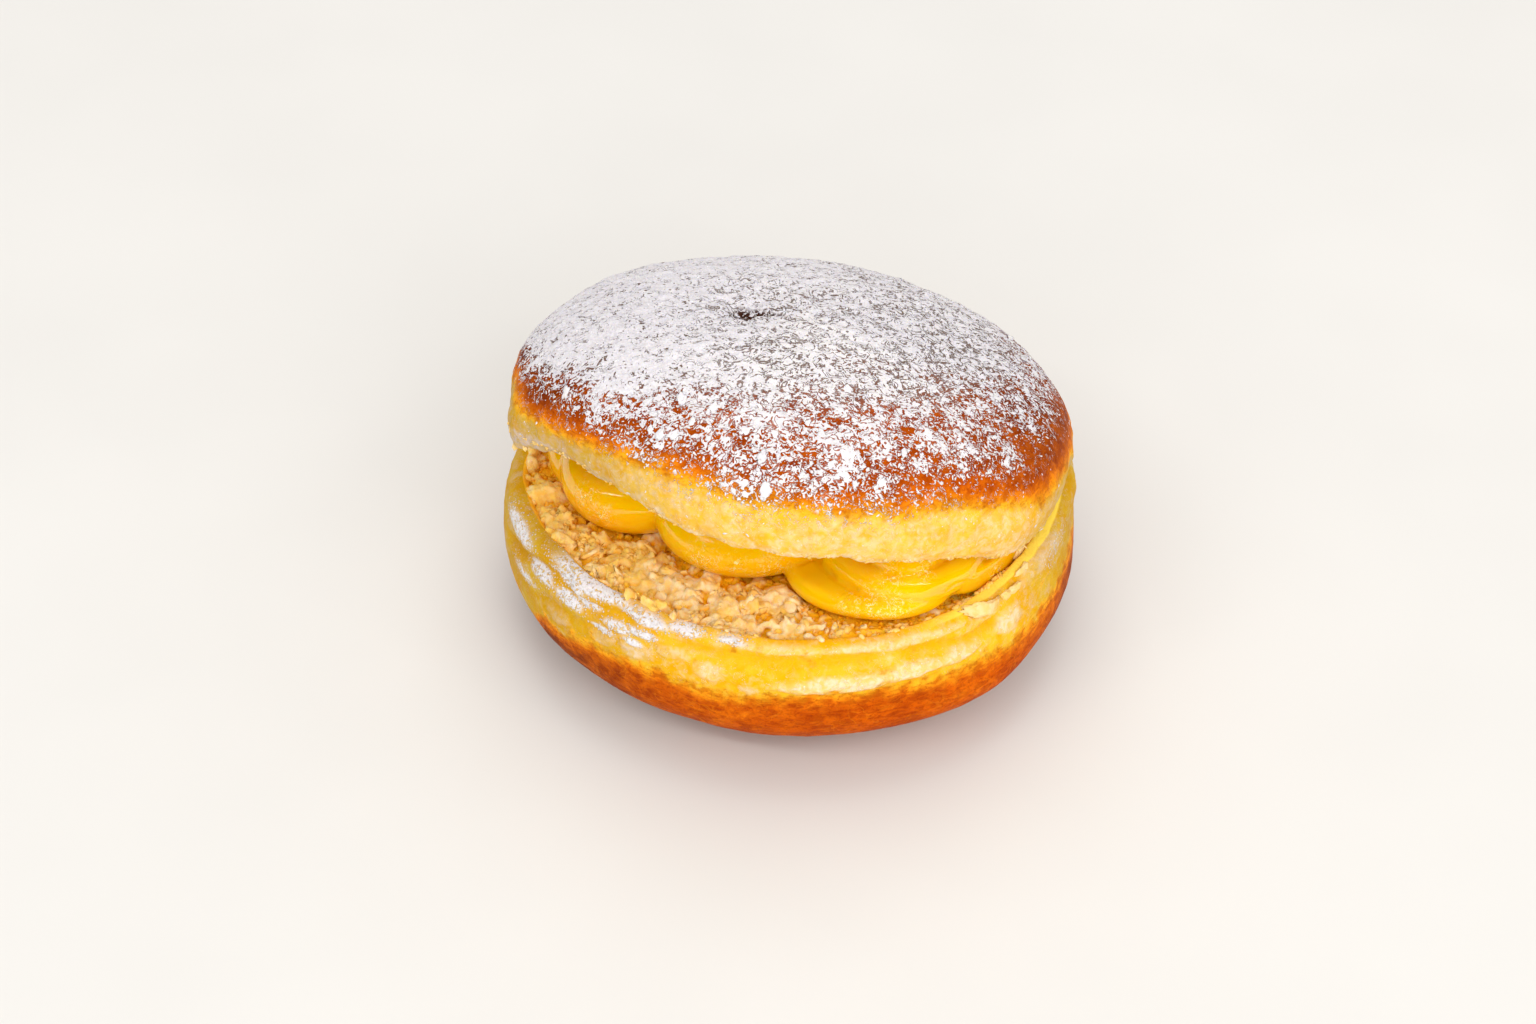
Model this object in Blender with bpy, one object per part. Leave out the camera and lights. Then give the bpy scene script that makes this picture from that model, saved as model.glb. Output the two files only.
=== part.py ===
"""Berliner doughnut, cut open and filled with piped custard.

Three solids: the bottom half, the custard filling and the domed top half.
Sizes are in millimetres and become metres as each mesh is made.
The open side faces -Y; angles are in degrees, counted from +X towards +Y.
"""
import bpy
import bmesh
import numpy as np

MILLIMETRE = 0.001

# How finely the round pieces are divided
AROUND = 96
FRONT_CROWDING = 0.40
FRONT_CROWDING_ANGLE = 80.0

# Body of the bottom half
BODY_RADIUS = 50.0
DEPTH_FACTOR = 0.96
WIDEST_HEIGHT = 16.0
BELOW_WIDEST = 16.6
ABOVE_WIDEST = 30.0
ROUND_BELOW = 2.35
ROUND_ABOVE = 2.3
REST_RADIUS = 17.0

# The sloping cut through the body
CUT_HEIGHT = 26.0
FRONT_RISE = 3.5
LEFT_RISE = 0.5
CRUMB_RECESS = 2.3
CRUMB_RECESS_RIGHT = 1.1
LIP_ROUND = 2.0
CHUNK_SIZE = 4.4
CHUNK_HEIGHT = 3.4

# Angle, half width and size of each dent in the wall, and of each bulge low on it
WALL_DENTS = ((236.0, 26.0, 0.030), (205.0, 22.0, 0.016))
LOW_BULGES = ((312.0, 24.0, 0.042),)

# Torn wall that stands up outside the top half on the right
SIDE_WALL_RISE = 5.2
SIDE_WALL_ANGLE = -4.0
SIDE_WALL_WIDTH = 27.0
SIDE_WALL_FLARE = 2.9

# Torn flake lying on the lip at the front right
FLAKE_ANGLE = 313.0
FLAKE_WIDTH = 4.5
FLAKE_RISE = 1.3

# Folds in the pale wall: start and end angle, drop below the rim at each, depth, width
FOLDS = (
    (188.0, 222.0, 6.8, 0.6, 1.3, 1.15),
    (212.0, 238.0, 4.0, 1.7, 1.1, 1.05),
    (243.0, 293.0, 2.6, 2.7, 0.9, 1.05),
    (290.0, 318.0, 2.9, 5.2, 0.9, 1.05),
    (206.0, 232.0, 8.4, 5.4, 0.6, 1.2),
    (252.0, 312.0, 6.3, 5.6, -0.7, 1.5),
)

# Domed top half, in its own frame, before it is tipped open
TOP_RADIUS = 49.0
TOP_DEPTH_FACTOR = 0.95
TOP_WIDEST = 6.0
TOP_ABOVE = 18.3
TOP_BELOW = 18.0
TOP_ROUND_ABOVE = 2.1
TOP_ROUND_BELOW = 2.2
TOP_PITCH = 14.5
TOP_ROLL = 8.0
TOP_CENTRE = (-0.8, 0.5, 34.8)
TOP_RECESS = 1.6
TOP_LIP = 3.0

# Angle, half width and size of each dent in the top half, less than 0 for a bulge, and of each lift
TOP_DENTS = (
    (226.0, 30.0, 0.085), (130.0, 45.0, 0.05), (163.0, 20.0, 0.030),
    (50.0, 30.0, -0.012), (326.0, 15.0, -0.022),
)
TOP_LIFTS = ((220.0, 34.0, 2.8), (281.0, 20.0, 1.5), (326.0, 14.0, -2.6))
TUCK_ANGLE = 8.0
TUCK_WIDTH = 26.0
TUCK_AMOUNT = 0.035
FLAP_ANGLE = 198.0
FLAP_WIDTH = 8.0
FLAP_DROP = 2.6
FLAP_OUT = 3.2
TEAR_DEPTH = 1.1
BAND_LUMPS = 0.5

# Pucker in the crust of the dome
DIMPLE_X = -10.0
DIMPLE_Y = -0.8
DIMPLE_DEPTH = 2.0
DIMPLE_RADIUS = 2.4
HOLLOW_DEPTH = 0.8
HOLLOW_RADIUS = 7.5
PUCKER_FOLDS = 5

# Custard: centre x and y, radius, underside and top over the crumb bed, edge rounding
CUSTARD_GAP = 0.35
CUSTARD_MARGIN = 0.6
LOBES = (
    (1.0, 7.0, 29.5, 0.00, 10.0, 3.4),
    (-30.5, 4.7, 11.7, 0.75, 8.2, 3.0),
    (-24.5, -1.4, 15.1, 0.25, 11.2, 4.6),
    (-6.3, -11.9, 16.5, 0.5, 10.6, 5.0),
    (14.3, -23.6, 14.9, 0.65, 4.8, 2.3),
    (25.0, -15.2, 16.9, 0.9, 5.6, 2.4),
    (19.0, -21.6, 14.6, 2.2, 8.4, 3.2),
    (19.2, -26.0, 7.6, 5.0, 11.6, 3.0),
)
LOBE_AROUND = 30
LOBE_WAVE = 0.35


def clear_scene():
    """Remove everything that a new scene holds."""
    for item in list(bpy.data.objects):
        bpy.data.objects.remove(item, do_unlink=True)


def wrap(angle):
    """Bring an angle in degrees between -180 and 180."""
    return (angle + 180.0) % 360.0 - 180.0


def bump(angle, centre, width):
    """Smooth hump of height 1 about one direction."""
    return np.exp(-(wrap(angle - centre) / width) ** 2)


def smooth_step(value):
    """Ease from 0 to 1 as the value goes from 0 to 1."""
    part = np.clip(value, 0.0, 1.0)
    return part * part * (3.0 - 2.0 * part)


def scatter_number(ix, iy, iz, seed):
    """Repeatable number from 0 to 1 for each whole-number cell."""
    mixed = np.sin(ix * 127.1 + iy * 311.7 + iz * 74.7 + seed * 53.3) * 43758.5453
    return mixed - np.floor(mixed)


def soft_noise(x, y, z, size, seed):
    """Smooth unevenness between -1 and 1, with lumps of about the given size."""
    px, py, pz = x / size, y / size, z / size
    ix, iy, iz = np.floor(px), np.floor(py), np.floor(pz)
    fx, fy, fz = smooth_step(px - ix), smooth_step(py - iy), smooth_step(pz - iz)
    total = 0.0
    for dx in (0, 1):
        for dy in (0, 1):
            for dz in (0, 1):
                share_x = fx if dx else 1.0 - fx
                share_y = fy if dy else 1.0 - fy
                share_z = fz if dz else 1.0 - fz
                corner = scatter_number(ix + dx, iy + dy, iz + dz, seed)
                total = total + share_x * share_y * share_z * corner
    return total * 2.0 - 1.0


def torn_chunks(x, y, size, seed):
    """Flat-topped lumps of torn crumb, one to a cell, from 0 in the cracks to 1."""
    ix, iy = np.floor(x / size), np.floor(y / size)
    nearest = np.full(np.shape(x), 9.0)
    height = np.zeros(np.shape(x))
    for dx in (-1, 0, 1):
        for dy in (-1, 0, 1):
            cell_x, cell_y = ix + dx, iy + dy
            spot_x = (cell_x + 0.1 + 0.8 * scatter_number(cell_x, cell_y, 1.0, seed)) * size
            spot_y = (cell_y + 0.1 + 0.8 * scatter_number(cell_x, cell_y, 2.0, seed)) * size
            distance = np.hypot(x - spot_x, y - spot_y) / size
            closer = distance < nearest
            tall = scatter_number(cell_x, cell_y, 3.0, seed)
            height = np.where(closer, 0.25 + 0.75 * tall, height)
            nearest = np.minimum(nearest, distance)
    return height * np.clip(1.0 - (nearest / 0.66) ** 2, 0.0, 1.0)


def oval_radius(height, radius, widest, above, below, round_above, round_below):
    """Radius of a flattened round body at a height."""
    upper = height >= widest
    part = np.where(upper, (height - widest) / above, (widest - height) / below)
    power = np.where(upper, round_above, round_below)
    part = np.clip(part, 0.0, 1.0)
    return radius * (1.0 - part ** power) ** (1.0 / power)


def ring_angles():
    """Directions round the body, closer together at the open front."""
    even = np.arange(AROUND) / AROUND * 2.0 * np.pi
    crowd = np.sin(even - np.radians(FRONT_CROWDING_ANGLE))
    return np.degrees(even + FRONT_CROWDING * crowd)


def cut_plane(x, y):
    """Height of the sloping cut over the floor."""
    slope_y = FRONT_RISE / (BODY_RADIUS * DEPTH_FACTOR)
    slope_x = LEFT_RISE / BODY_RADIUS
    return CUT_HEIGHT - slope_y * y - slope_x * x


def open_side(y):
    """Share of 1 at the open front that fades to 0 at the closed back."""
    return smooth_step((14.0 - y) / 18.0)


def crumb_bed(x, y):
    """Height of the bed of torn crumb, shallower towards the right of the open side."""
    right = smooth_step((x + 8.0) / 22.0) * open_side(y)
    return cut_plane(x, y) - CRUMB_RECESS + (CRUMB_RECESS - CRUMB_RECESS_RIGHT) * right


def side_wall(angle):
    """How much the torn side wall stands up, from 0 to 1."""
    return bump(angle, SIDE_WALL_ANGLE, SIDE_WALL_WIDTH)


def rim_height(angle):
    """Height of the lip of the bottom half."""
    turn = np.radians(angle)
    level = CUT_HEIGHT - FRONT_RISE * np.sin(turn) - LEFT_RISE * np.cos(turn)
    ragged = 0.35 * soft_noise(30.0 * np.cos(turn), 30.0 * np.sin(turn), 0.0, 5.0, 11)
    flake = FLAKE_RISE * bump(angle, FLAKE_ANGLE, FLAKE_WIDTH)
    return level + SIDE_WALL_RISE * side_wall(angle) + ragged + flake


def lip_width(angle):
    """Width of the pale lip between the outer wall and the torn crumb."""
    left = 1.6 * bump(angle, 205.0, 35.0)
    front = 0.5 * bump(angle, 262.0, 30.0)
    return 2.3 + left + front - 0.3 * side_wall(angle)


def body_radius(angle, height):
    """Radius of the outer wall, with its dents and the flare of the side wall."""
    plain = oval_radius(
        height, BODY_RADIUS, WIDEST_HEIGHT, ABOVE_WIDEST, BELOW_WIDEST, ROUND_ABOVE, ROUND_BELOW
    )
    for centre, width, amount in WALL_DENTS:
        plain = plain * (1.0 - amount * bump(angle, centre, width))
    low = smooth_step((24.0 - height) / 14.0) * smooth_step(height / 4.0)
    for centre, width, amount in LOW_BULGES:
        plain = plain * (1.0 + amount * bump(angle, centre, width) * low)
    flare = SIDE_WALL_FLARE * side_wall(angle) * smooth_step((height - 22.0) / 9.0)
    return plain + flare


def fold_depth(angle, drop):
    """Depth of the folds at a direction and a distance below the rim."""
    depth = np.zeros(np.broadcast(angle, drop).shape)
    for start, end, drop_start, drop_end, size, width in FOLDS:
        along = (angle - start) / (end - start)
        fade = smooth_step(along / 0.18) * smooth_step((1.0 - along) / 0.18)
        centre = drop_start + (drop_end - drop_start) * along
        centre = centre + 0.35 * soft_noise(angle, 0.0, 0.0, 6.0, 21)
        depth = depth + size * fade * np.exp(-((drop - centre) / width) ** 2)
    return depth


def crumb_relief(x, y):
    """Height of the torn crumb over its bed, fading out beneath the custard."""
    shown = custard_distance(x, y)
    fade = smooth_step((shown + 1.0) / 2.5)
    coarse = torn_chunks(x, y, CHUNK_SIZE, 31)
    fine = torn_chunks(x + 9.0, y - 4.0, CHUNK_SIZE * 0.55, 37)
    right = smooth_step((x - 12.0) / 16.0)
    height = CHUNK_HEIGHT * (1.0 - 0.55 * right)
    return height * fade * open_side(y) * (0.7 * coarse + 0.3 * fine)


def custard_distance(x, y):
    """Distance outside the outline of the custard, less than 0 inside it."""
    nearest = np.full(np.shape(x), 99.0)
    for lobe_x, lobe_y, radius, low, high, edge in LOBES:
        if low < 1.0:
            nearest = np.minimum(nearest, np.hypot(x - lobe_x, y - lobe_y) - radius)
    return nearest


def crumb_face(x, y):
    """Height of the torn face of the bottom half."""
    return crumb_bed(x, y) + crumb_relief(x, y)


def bottom_rings(angle):
    """Points of the bottom half, ring by ring from the floor to the middle of the face."""
    turn = np.radians(angle)
    top = rim_height(angle)
    rings = []
    for part in (0.5, 1.0):
        rings.append((np.full_like(angle, REST_RADIUS * part), np.zeros_like(angle)))
    low_end = top - 8.5
    for part in np.arange(1, 10) / 9.0:
        height = low_end * part ** 1.7
        rings.append((body_radius(angle, height), height))
    for part in np.arange(1, 6) / 5.0:
        height = low_end + (8.5 - LIP_ROUND) * part
        radius = body_radius(angle, height) - fold_depth(angle, top - height)
        rings.append((radius, height))
    outer_radius, outer_height = rings[-1]
    corner = body_radius(angle, top)
    width = lip_width(angle)
    inner_radius = corner - 0.62 * width
    for part in (0.3, 0.55, 0.8, 1.0):
        first, middle, last = (1.0 - part) ** 2, 2.0 * part * (1.0 - part), part ** 2
        radius = first * outer_radius + middle * corner + last * inner_radius
        height = first * outer_height + middle * top + last * top
        fold = fold_depth(angle, top - height) * (1.0 - part)
        rings.append((radius - 0.5 * fold, height - 0.5 * fold))
    face_radius = corner - width
    bed_x = face_radius * np.cos(turn)
    bed_y = face_radius * DEPTH_FACTOR * np.sin(turn)
    bed = crumb_bed(bed_x, bed_y)
    rings.append((corner - 0.86 * width, 0.45 * bed + 0.55 * top))
    rings.append((face_radius, bed + 0.15))
    for part in (0.96, 0.92, 0.88, 0.84, 0.79, 0.73, 0.64, 0.5, 0.3, 0.12):
        radius = face_radius * part
        height = crumb_face(radius * np.cos(turn), radius * DEPTH_FACTOR * np.sin(turn))
        rings.append((radius, height))
    points = []
    for radius, height in rings:
        points.append(np.stack((radius * np.cos(turn), radius * DEPTH_FACTOR * np.sin(turn), height), 1))
    return np.array(points)


def roughen_wall(points, amount, size, seed):
    """Uneven the outer wall a little, leaving the flat rest spot alone."""
    x, y, z = points[..., 0], points[..., 1], points[..., 2]
    lump = soft_noise(x, y, z, size, seed) * amount * smooth_step(z / 5.0)
    reach = np.hypot(x, y) + 1e-6
    points[..., 0] = x + lump * x / reach
    points[..., 1] = y + lump * y / reach
    return points


def top_radius(angle, height):
    """Radius of the top half in its own frame."""
    plain = oval_radius(
        height, TOP_RADIUS, TOP_WIDEST, TOP_ABOVE, TOP_BELOW, TOP_ROUND_ABOVE, TOP_ROUND_BELOW
    )
    for centre, width, amount in TOP_DENTS:
        plain = plain * (1.0 - amount * bump(angle, centre, width))
    low = smooth_step((9.0 - height) / 9.0)
    plain = plain * (1.0 - TUCK_AMOUNT * bump(angle, TUCK_ANGLE, TUCK_WIDTH) * low)
    return plain + FLAP_OUT * bump(angle, FLAP_ANGLE, FLAP_WIDTH) * low


def top_lift(angle, height):
    """Height in the frame of the top half after its cut edge is lifted or dropped."""
    whole = TOP_WIDEST + TOP_ABOVE
    lifted = height
    for centre, width, amount in TOP_LIFTS:
        lifted = lifted + amount * bump(angle, centre, width) * (1.0 - height / whole)
    return lifted


def tear(angle):
    """Ragged drop of the torn edge of the top half."""
    turn = np.radians(angle)
    coarse = soft_noise(45.0 * np.cos(turn), 45.0 * np.sin(turn), 0.0, 4.2, 41)
    fine = soft_noise(45.0 * np.cos(turn), 45.0 * np.sin(turn), 5.0, 2.1, 43)
    calm = 1.0 - 0.75 * bump(angle, 55.0, 75.0)
    return TEAR_DEPTH * calm * (0.7 * coarse + 0.3 * fine)


def dimple(x, y):
    """Depth of the pucker in the dome."""
    away_x, away_y = x - DIMPLE_X, y - DIMPLE_Y
    away = np.hypot(away_x, away_y)
    pit = DIMPLE_DEPTH * np.exp(-(away / DIMPLE_RADIUS) ** 2)
    hollow = HOLLOW_DEPTH * np.exp(-(away / HOLLOW_RADIUS) ** 2)
    creases = np.cos(PUCKER_FOLDS * np.arctan2(away_y, away_x) + 0.6)
    ridges = 0.35 * creases * np.exp(-((away - 3.6) / 2.2) ** 2)
    return pit + hollow + ridges


def top_rings(angle):
    """Points of the top half, ring by ring from the dome to the middle of its torn face."""
    turn = np.radians(angle)
    rings = []
    for reach in (2.5, 5.5, 8.0, 10.0, 12.0, 15.0, 20.0, 26.0, 31.5, 36.5, 40.5, 43.8, 46.2, 47.8):
        part = (reach / TOP_RADIUS) ** TOP_ROUND_ABOVE
        height = TOP_WIDEST + TOP_ABOVE * (1.0 - part) ** (1.0 / TOP_ROUND_ABOVE)
        height = np.full_like(angle, height)
        rings.append((top_radius(angle, height), top_lift(angle, height)))
    for level in (9.0, 6.0, 4.2, 2.4):
        height = np.full_like(angle, level)
        rings.append((top_radius(angle, height), top_lift(angle, height)))
    outer_radius, outer_height = rings[-1]
    corner = top_radius(angle, np.zeros_like(angle))
    drop = tear(angle) - FLAP_DROP * bump(angle, FLAP_ANGLE, FLAP_WIDTH)
    edge = top_lift(angle, np.zeros_like(angle)) + drop
    inner_radius = corner - 0.55 * TOP_LIP
    for part in (0.4, 0.7, 1.0):
        first, middle, last = (1.0 - part) ** 2, 2.0 * part * (1.0 - part), part ** 2
        radius = first * outer_radius + middle * corner + last * inner_radius
        height = first * outer_height + (middle + last) * edge
        rings.append((radius, height))
    face_radius = corner - TOP_LIP
    for part in (1.0, 0.82, 0.6, 0.3):
        radius = face_radius * part
        x, y = radius * np.cos(turn), radius * TOP_DEPTH_FACTOR * np.sin(turn)
        relief = 0.5 * torn_chunks(x, y, 5.0, 47)
        open_edge = top_lift(angle, np.zeros_like(angle)) * part ** 2
        rings.append((radius, TOP_RECESS + open_edge - relief))
    points = []
    for radius, height in rings:
        x, y = radius * np.cos(turn), radius * TOP_DEPTH_FACTOR * np.sin(turn)
        points.append(np.stack((x, y, height), 1))
    return np.array(points)


def dimple_dome(points):
    """Press the pucker and slight waves into the dome and lumps into the pale band."""
    x, y, z = points[..., 0], points[..., 1], points[..., 2]
    dome = smooth_step((z - 6.0) / 8.0)
    waves = 0.35 * soft_noise(x, y, z, 16.0, 51) * smooth_step((z - 1.0) / 6.0)
    reach = np.hypot(x, y) + 1e-6
    band = smooth_step((reach - 38.0) / 3.0) * smooth_step((11.0 - z) / 4.0)
    lump = BAND_LUMPS * band * soft_noise(x, y, z * 0.5, 3.6, 53)
    points[..., 0] = x * (1.0 + lump / reach)
    points[..., 1] = y * (1.0 + lump / reach)
    points[..., 2] = z - dome * dimple(x, y) + waves
    return points


def tip_open(points):
    """Turn the top half from its own frame to where it rests on the custard."""
    pitch, roll = np.radians(TOP_PITCH), np.radians(TOP_ROLL)
    about_x = np.array((
        (1.0, 0.0, 0.0),
        (0.0, np.cos(pitch), np.sin(pitch)),
        (0.0, -np.sin(pitch), np.cos(pitch)),
    ))
    about_y = np.array((
        (np.cos(roll), 0.0, np.sin(roll)),
        (0.0, 1.0, 0.0),
        (-np.sin(roll), 0.0, np.cos(roll)),
    ))
    return points @ (about_x @ about_y).T + np.array(TOP_CENTRE)


def underside_of_top(x, y):
    """Height of the cut edge of the top half, lower wherever that edge drops."""
    normal = tip_open(np.array(((0.0, 0.0, 1.0),)))[0] - np.array(TOP_CENTRE)
    out_x, out_y = x - TOP_CENTRE[0], y - TOP_CENTRE[1]
    plane = TOP_CENTRE[2] - (out_x * normal[0] + out_y * normal[1]) / normal[2]
    angle = np.degrees(np.arctan2(out_y, out_x))
    reach = np.hypot(out_x, out_y) / (TOP_RADIUS - TOP_LIP)
    return plane + np.minimum(top_lift(angle, 0.0), 0.0) * reach ** 2


def make_surface(name, rings, first, last):
    """Build one closed mesh from rings of points and a point at each end."""
    count, around = rings.shape[0], rings.shape[1]
    mesh = bmesh.new()
    rows = []
    for ring in rings:
        rows.append([mesh.verts.new(point * MILLIMETRE) for point in ring])
    start = mesh.verts.new(np.array(first) * MILLIMETRE)
    end = mesh.verts.new(np.array(last) * MILLIMETRE)
    for column in range(around):
        after = (column + 1) % around
        mesh.faces.new((start, rows[0][after], rows[0][column]))
        mesh.faces.new((end, rows[-1][column], rows[-1][after]))
        for row in range(count - 1):
            mesh.faces.new((
                rows[row][column],
                rows[row][after],
                rows[row + 1][after],
                rows[row + 1][column],
            ))
    bmesh.ops.recalc_face_normals(mesh, faces=mesh.faces)
    if mesh.calc_volume(signed=True) < 0.0:
        bmesh.ops.reverse_faces(mesh, faces=mesh.faces)
    bmesh.ops.triangulate(mesh, faces=mesh.faces, quad_method="SHORT_EDGE")
    data = bpy.data.meshes.new(name)
    mesh.to_mesh(data)
    mesh.free()
    data.shade_smooth()
    item = bpy.data.objects.new(name, data)
    bpy.context.scene.collection.objects.link(item)
    return item


def make_bottom_half():
    """Bottom half with its folds, lip and torn crumb face."""
    angle = ring_angles()
    rings = bottom_rings(angle)
    rings[:17] = roughen_wall(rings[:17], 0.35, 13.0, 61)
    middle = crumb_face(np.array(0.0), np.array(0.0))
    return make_surface("bottom_half", rings, (0.0, 0.0, 0.0), (0.0, 0.0, float(middle)))


def make_top_half():
    """Domed top half, tipped open on the custard."""
    rings = dimple_dome(top_rings(ring_angles()))
    rings = tip_open(rings)
    crown = tip_open(np.array(((0.0, 0.0, TOP_WIDEST + TOP_ABOVE - 0.1),)))[0]
    under = tip_open(np.array(((0.0, 0.0, TOP_RECESS),)))[0]
    return make_surface("top_half", rings, crown, under)


def make_lobe(name, lobe, seed):
    """One rounded coil of custard lying on the crumb face."""
    lobe_x, lobe_y, radius, low, high, edge = lobe
    turn = np.arange(LOBE_AROUND) / LOBE_AROUND * 2.0 * np.pi
    wave = LOBE_WAVE * np.sin(3.0 * turn + seed)
    half = 0.5 * (high - low)
    inner_level = -0.88 if seed == 0 else -1.0
    profile = [(radius - 2.0 * edge, inner_level), (radius - edge, -0.97)]
    for tilt in (-50.0, -16.0, 18.0, 52.0):
        out = radius - edge + edge * np.cos(np.radians(tilt))
        profile.append((out, np.sin(np.radians(tilt))))
    profile.append((radius - edge, 0.95))
    profile.append((radius - 2.2 * edge, 1.0))
    rings = []
    for reach, level in profile:
        ring_x = lobe_x + (reach + wave) * np.cos(turn)
        ring_y = lobe_y + (reach + wave) * np.sin(turn)
        rings.append(lobe_ring(ring_x, ring_y, low + half * (level + 1.0), seed))
    centre_x, centre_y = np.array((lobe_x,)), np.array((lobe_y,))
    first = lobe_ring(centre_x, centre_y, low + half * (inner_level + 1.0), seed)[0]
    last = lobe_ring(centre_x, centre_y, high, seed)[0]
    return make_surface(name, np.array(rings), first, last)


def lobe_ring(x, y, over, seed):
    """Points at a height over the crumb bed, kept clear of both halves."""
    angle = np.degrees(np.arctan2(y / DEPTH_FACTOR, x))
    reach = np.hypot(x, y / DEPTH_FACTOR) + 1e-6
    room = body_radius(angle, rim_height(angle)) - lip_width(angle) - CUSTARD_MARGIN
    room = room - 0.12 * seed
    inward = np.minimum(1.0, room / reach)
    x, y = x * inward, y * inward
    bed = crumb_bed(x, y) + CUSTARD_GAP
    ceiling = underside_of_top(x, y) + 0.35 - 0.1 * seed
    height = np.minimum(bed + over, ceiling)
    return np.stack((x, y, height), 1)


def make_custard():
    """Join the coils into one body of custard."""
    group = bpy.data.collections.new("coils")
    bpy.context.scene.collection.children.link(group)
    body = make_lobe("custard_filling", LOBES[0], 0)
    coils = []
    for number, lobe in enumerate(LOBES[1:], start=1):
        coil = make_lobe("coil_" + str(number), lobe, number)
        bpy.context.scene.collection.objects.unlink(coil)
        group.objects.link(coil)
        coils.append(coil)
    joint = body.modifiers.new("join", "BOOLEAN")
    joint.operation = "UNION"
    joint.operand_type = "COLLECTION"
    joint.collection = group
    joint.solver = "MANIFOLD"
    apply_modifiers(body)
    for coil in coils:
        bpy.data.objects.remove(coil, do_unlink=True)
    bpy.data.collections.remove(group)
    return body


def apply_modifiers(item):
    """Keep the mesh as its modifiers leave it."""
    bpy.context.view_layer.update()
    graph = bpy.context.evaluated_depsgraph_get()
    finished = bpy.data.meshes.new_from_object(item.evaluated_get(graph))
    item.modifiers.clear()
    old = item.data
    item.data = finished
    bpy.data.meshes.remove(old)
    finished.name = item.name
    tidy_mesh(finished)


def tidy_mesh(data):
    """Split every face into triangles that face outward."""
    mesh = bmesh.new()
    mesh.from_mesh(data)
    bmesh.ops.triangulate(mesh, faces=mesh.faces)
    bmesh.ops.recalc_face_normals(mesh, faces=mesh.faces)
    mesh.to_mesh(data)
    mesh.free()
    data.shade_smooth()


def give_material(item, name, colour, roughness):
    """Give a piece its own plain material."""
    material = bpy.data.materials.new(name)
    material.use_nodes = True
    shader = material.node_tree.nodes["Principled BSDF"]
    shader.inputs["Base Color"].default_value = colour
    shader.inputs["Roughness"].default_value = roughness
    item.data.materials.clear()
    item.data.materials.append(material)


def build():
    """Make the three solids of the doughnut."""
    clear_scene()
    bottom = make_bottom_half()
    custard = make_custard()
    top = make_top_half()
    give_material(bottom, "pale_dough", (0.86, 0.62, 0.24, 1.0), 0.75)
    give_material(custard, "custard", (0.95, 0.58, 0.04, 1.0), 0.25)
    give_material(top, "sugared_crust", (0.72, 0.45, 0.22, 1.0), 0.8)


build()
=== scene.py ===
import math
from itertools import product

import bmesh
import bpy
import numpy as np
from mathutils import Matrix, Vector


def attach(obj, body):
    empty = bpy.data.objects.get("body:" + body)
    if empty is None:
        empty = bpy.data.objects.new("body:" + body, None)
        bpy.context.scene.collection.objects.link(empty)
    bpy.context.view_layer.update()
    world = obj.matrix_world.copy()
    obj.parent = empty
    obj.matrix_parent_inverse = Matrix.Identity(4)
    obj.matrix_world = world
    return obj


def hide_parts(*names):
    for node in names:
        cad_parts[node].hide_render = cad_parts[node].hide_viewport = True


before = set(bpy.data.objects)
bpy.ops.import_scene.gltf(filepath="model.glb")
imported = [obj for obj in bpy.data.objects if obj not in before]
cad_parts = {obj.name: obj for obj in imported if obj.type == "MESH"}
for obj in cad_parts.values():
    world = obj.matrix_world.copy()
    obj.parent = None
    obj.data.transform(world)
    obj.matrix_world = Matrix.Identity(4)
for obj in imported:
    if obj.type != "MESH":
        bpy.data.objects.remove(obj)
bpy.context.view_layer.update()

# Looks of the cut and filled doughnut. Sizes are in millimetres and become metres as each mesh is
# made. The open side faces -Y; angles are in degrees, counted from +X towards +Y.
MILLIMETRE = 0.001

# How finely the round pieces are divided: points in a ring, and rings in each stretch
AROUND = 640
CRUST_RINGS = 42
BAND_RINGS = 28
LIP_RINGS = 12
INNER_RINGS = 6
FACE_RINGS = 49
TOP_LIP_RINGS = 11
LINING_RINGS = 12
HIDDEN_PARTS = (0.5, 0.43, 0.34, 0.22, 0.1)
UNDERSIDE_PARTS = (1.0, 0.96, 0.92, 0.87, 0.82, 0.74, 0.6, 0.4, 0.2)
FRONT_CROWDING = 0.40
FRONT_CROWDING_ANGLE = 80.0

# Body of the bottom half
BODY_RADIUS = 50.0
DEPTH_FACTOR = 0.96
WIDEST_HEIGHT = 16.0
BELOW_WIDEST = 16.6
ABOVE_WIDEST = 30.0
ROUND_BELOW = 2.35
ROUND_ABOVE = 2.3
REST_RADIUS = 17.0
REST_PARTS = (0.35, 0.7, 1.0)
PALE_BAND = 9.5
CRUST_FADE = 6.5

# The sloping cut through the body
CUT_HEIGHT = 26.0
FRONT_RISE = 3.5
LEFT_RISE = 0.5
CRUMB_RECESS = 2.3
CRUMB_RECESS_RIGHT = 1.1
LIP_ROUND = 2.0
LIP_WIDTH = 2.3
RIM_REACH = 30.0
CHUNK_SIZE = 4.4
CHUNK_HEIGHT = 2.6

# Angle, half width and size of each dent in the wall, less than 0 for a bulge low on it
WALL_DENTS = ((236, 26, 0.03), (205, 22, 0.016))
LOW_BULGES = ((312, 24, -0.042),)

# Torn wall that stands up outside the top half on the right
SIDE_WALL_RISE = 5.2
SIDE_WALL_ANGLE = -4.0
SIDE_WALL_WIDTH = 27.0
SIDE_WALL_FLARE = 2.9
SIDE_WALL_LINING = 2.4

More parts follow.
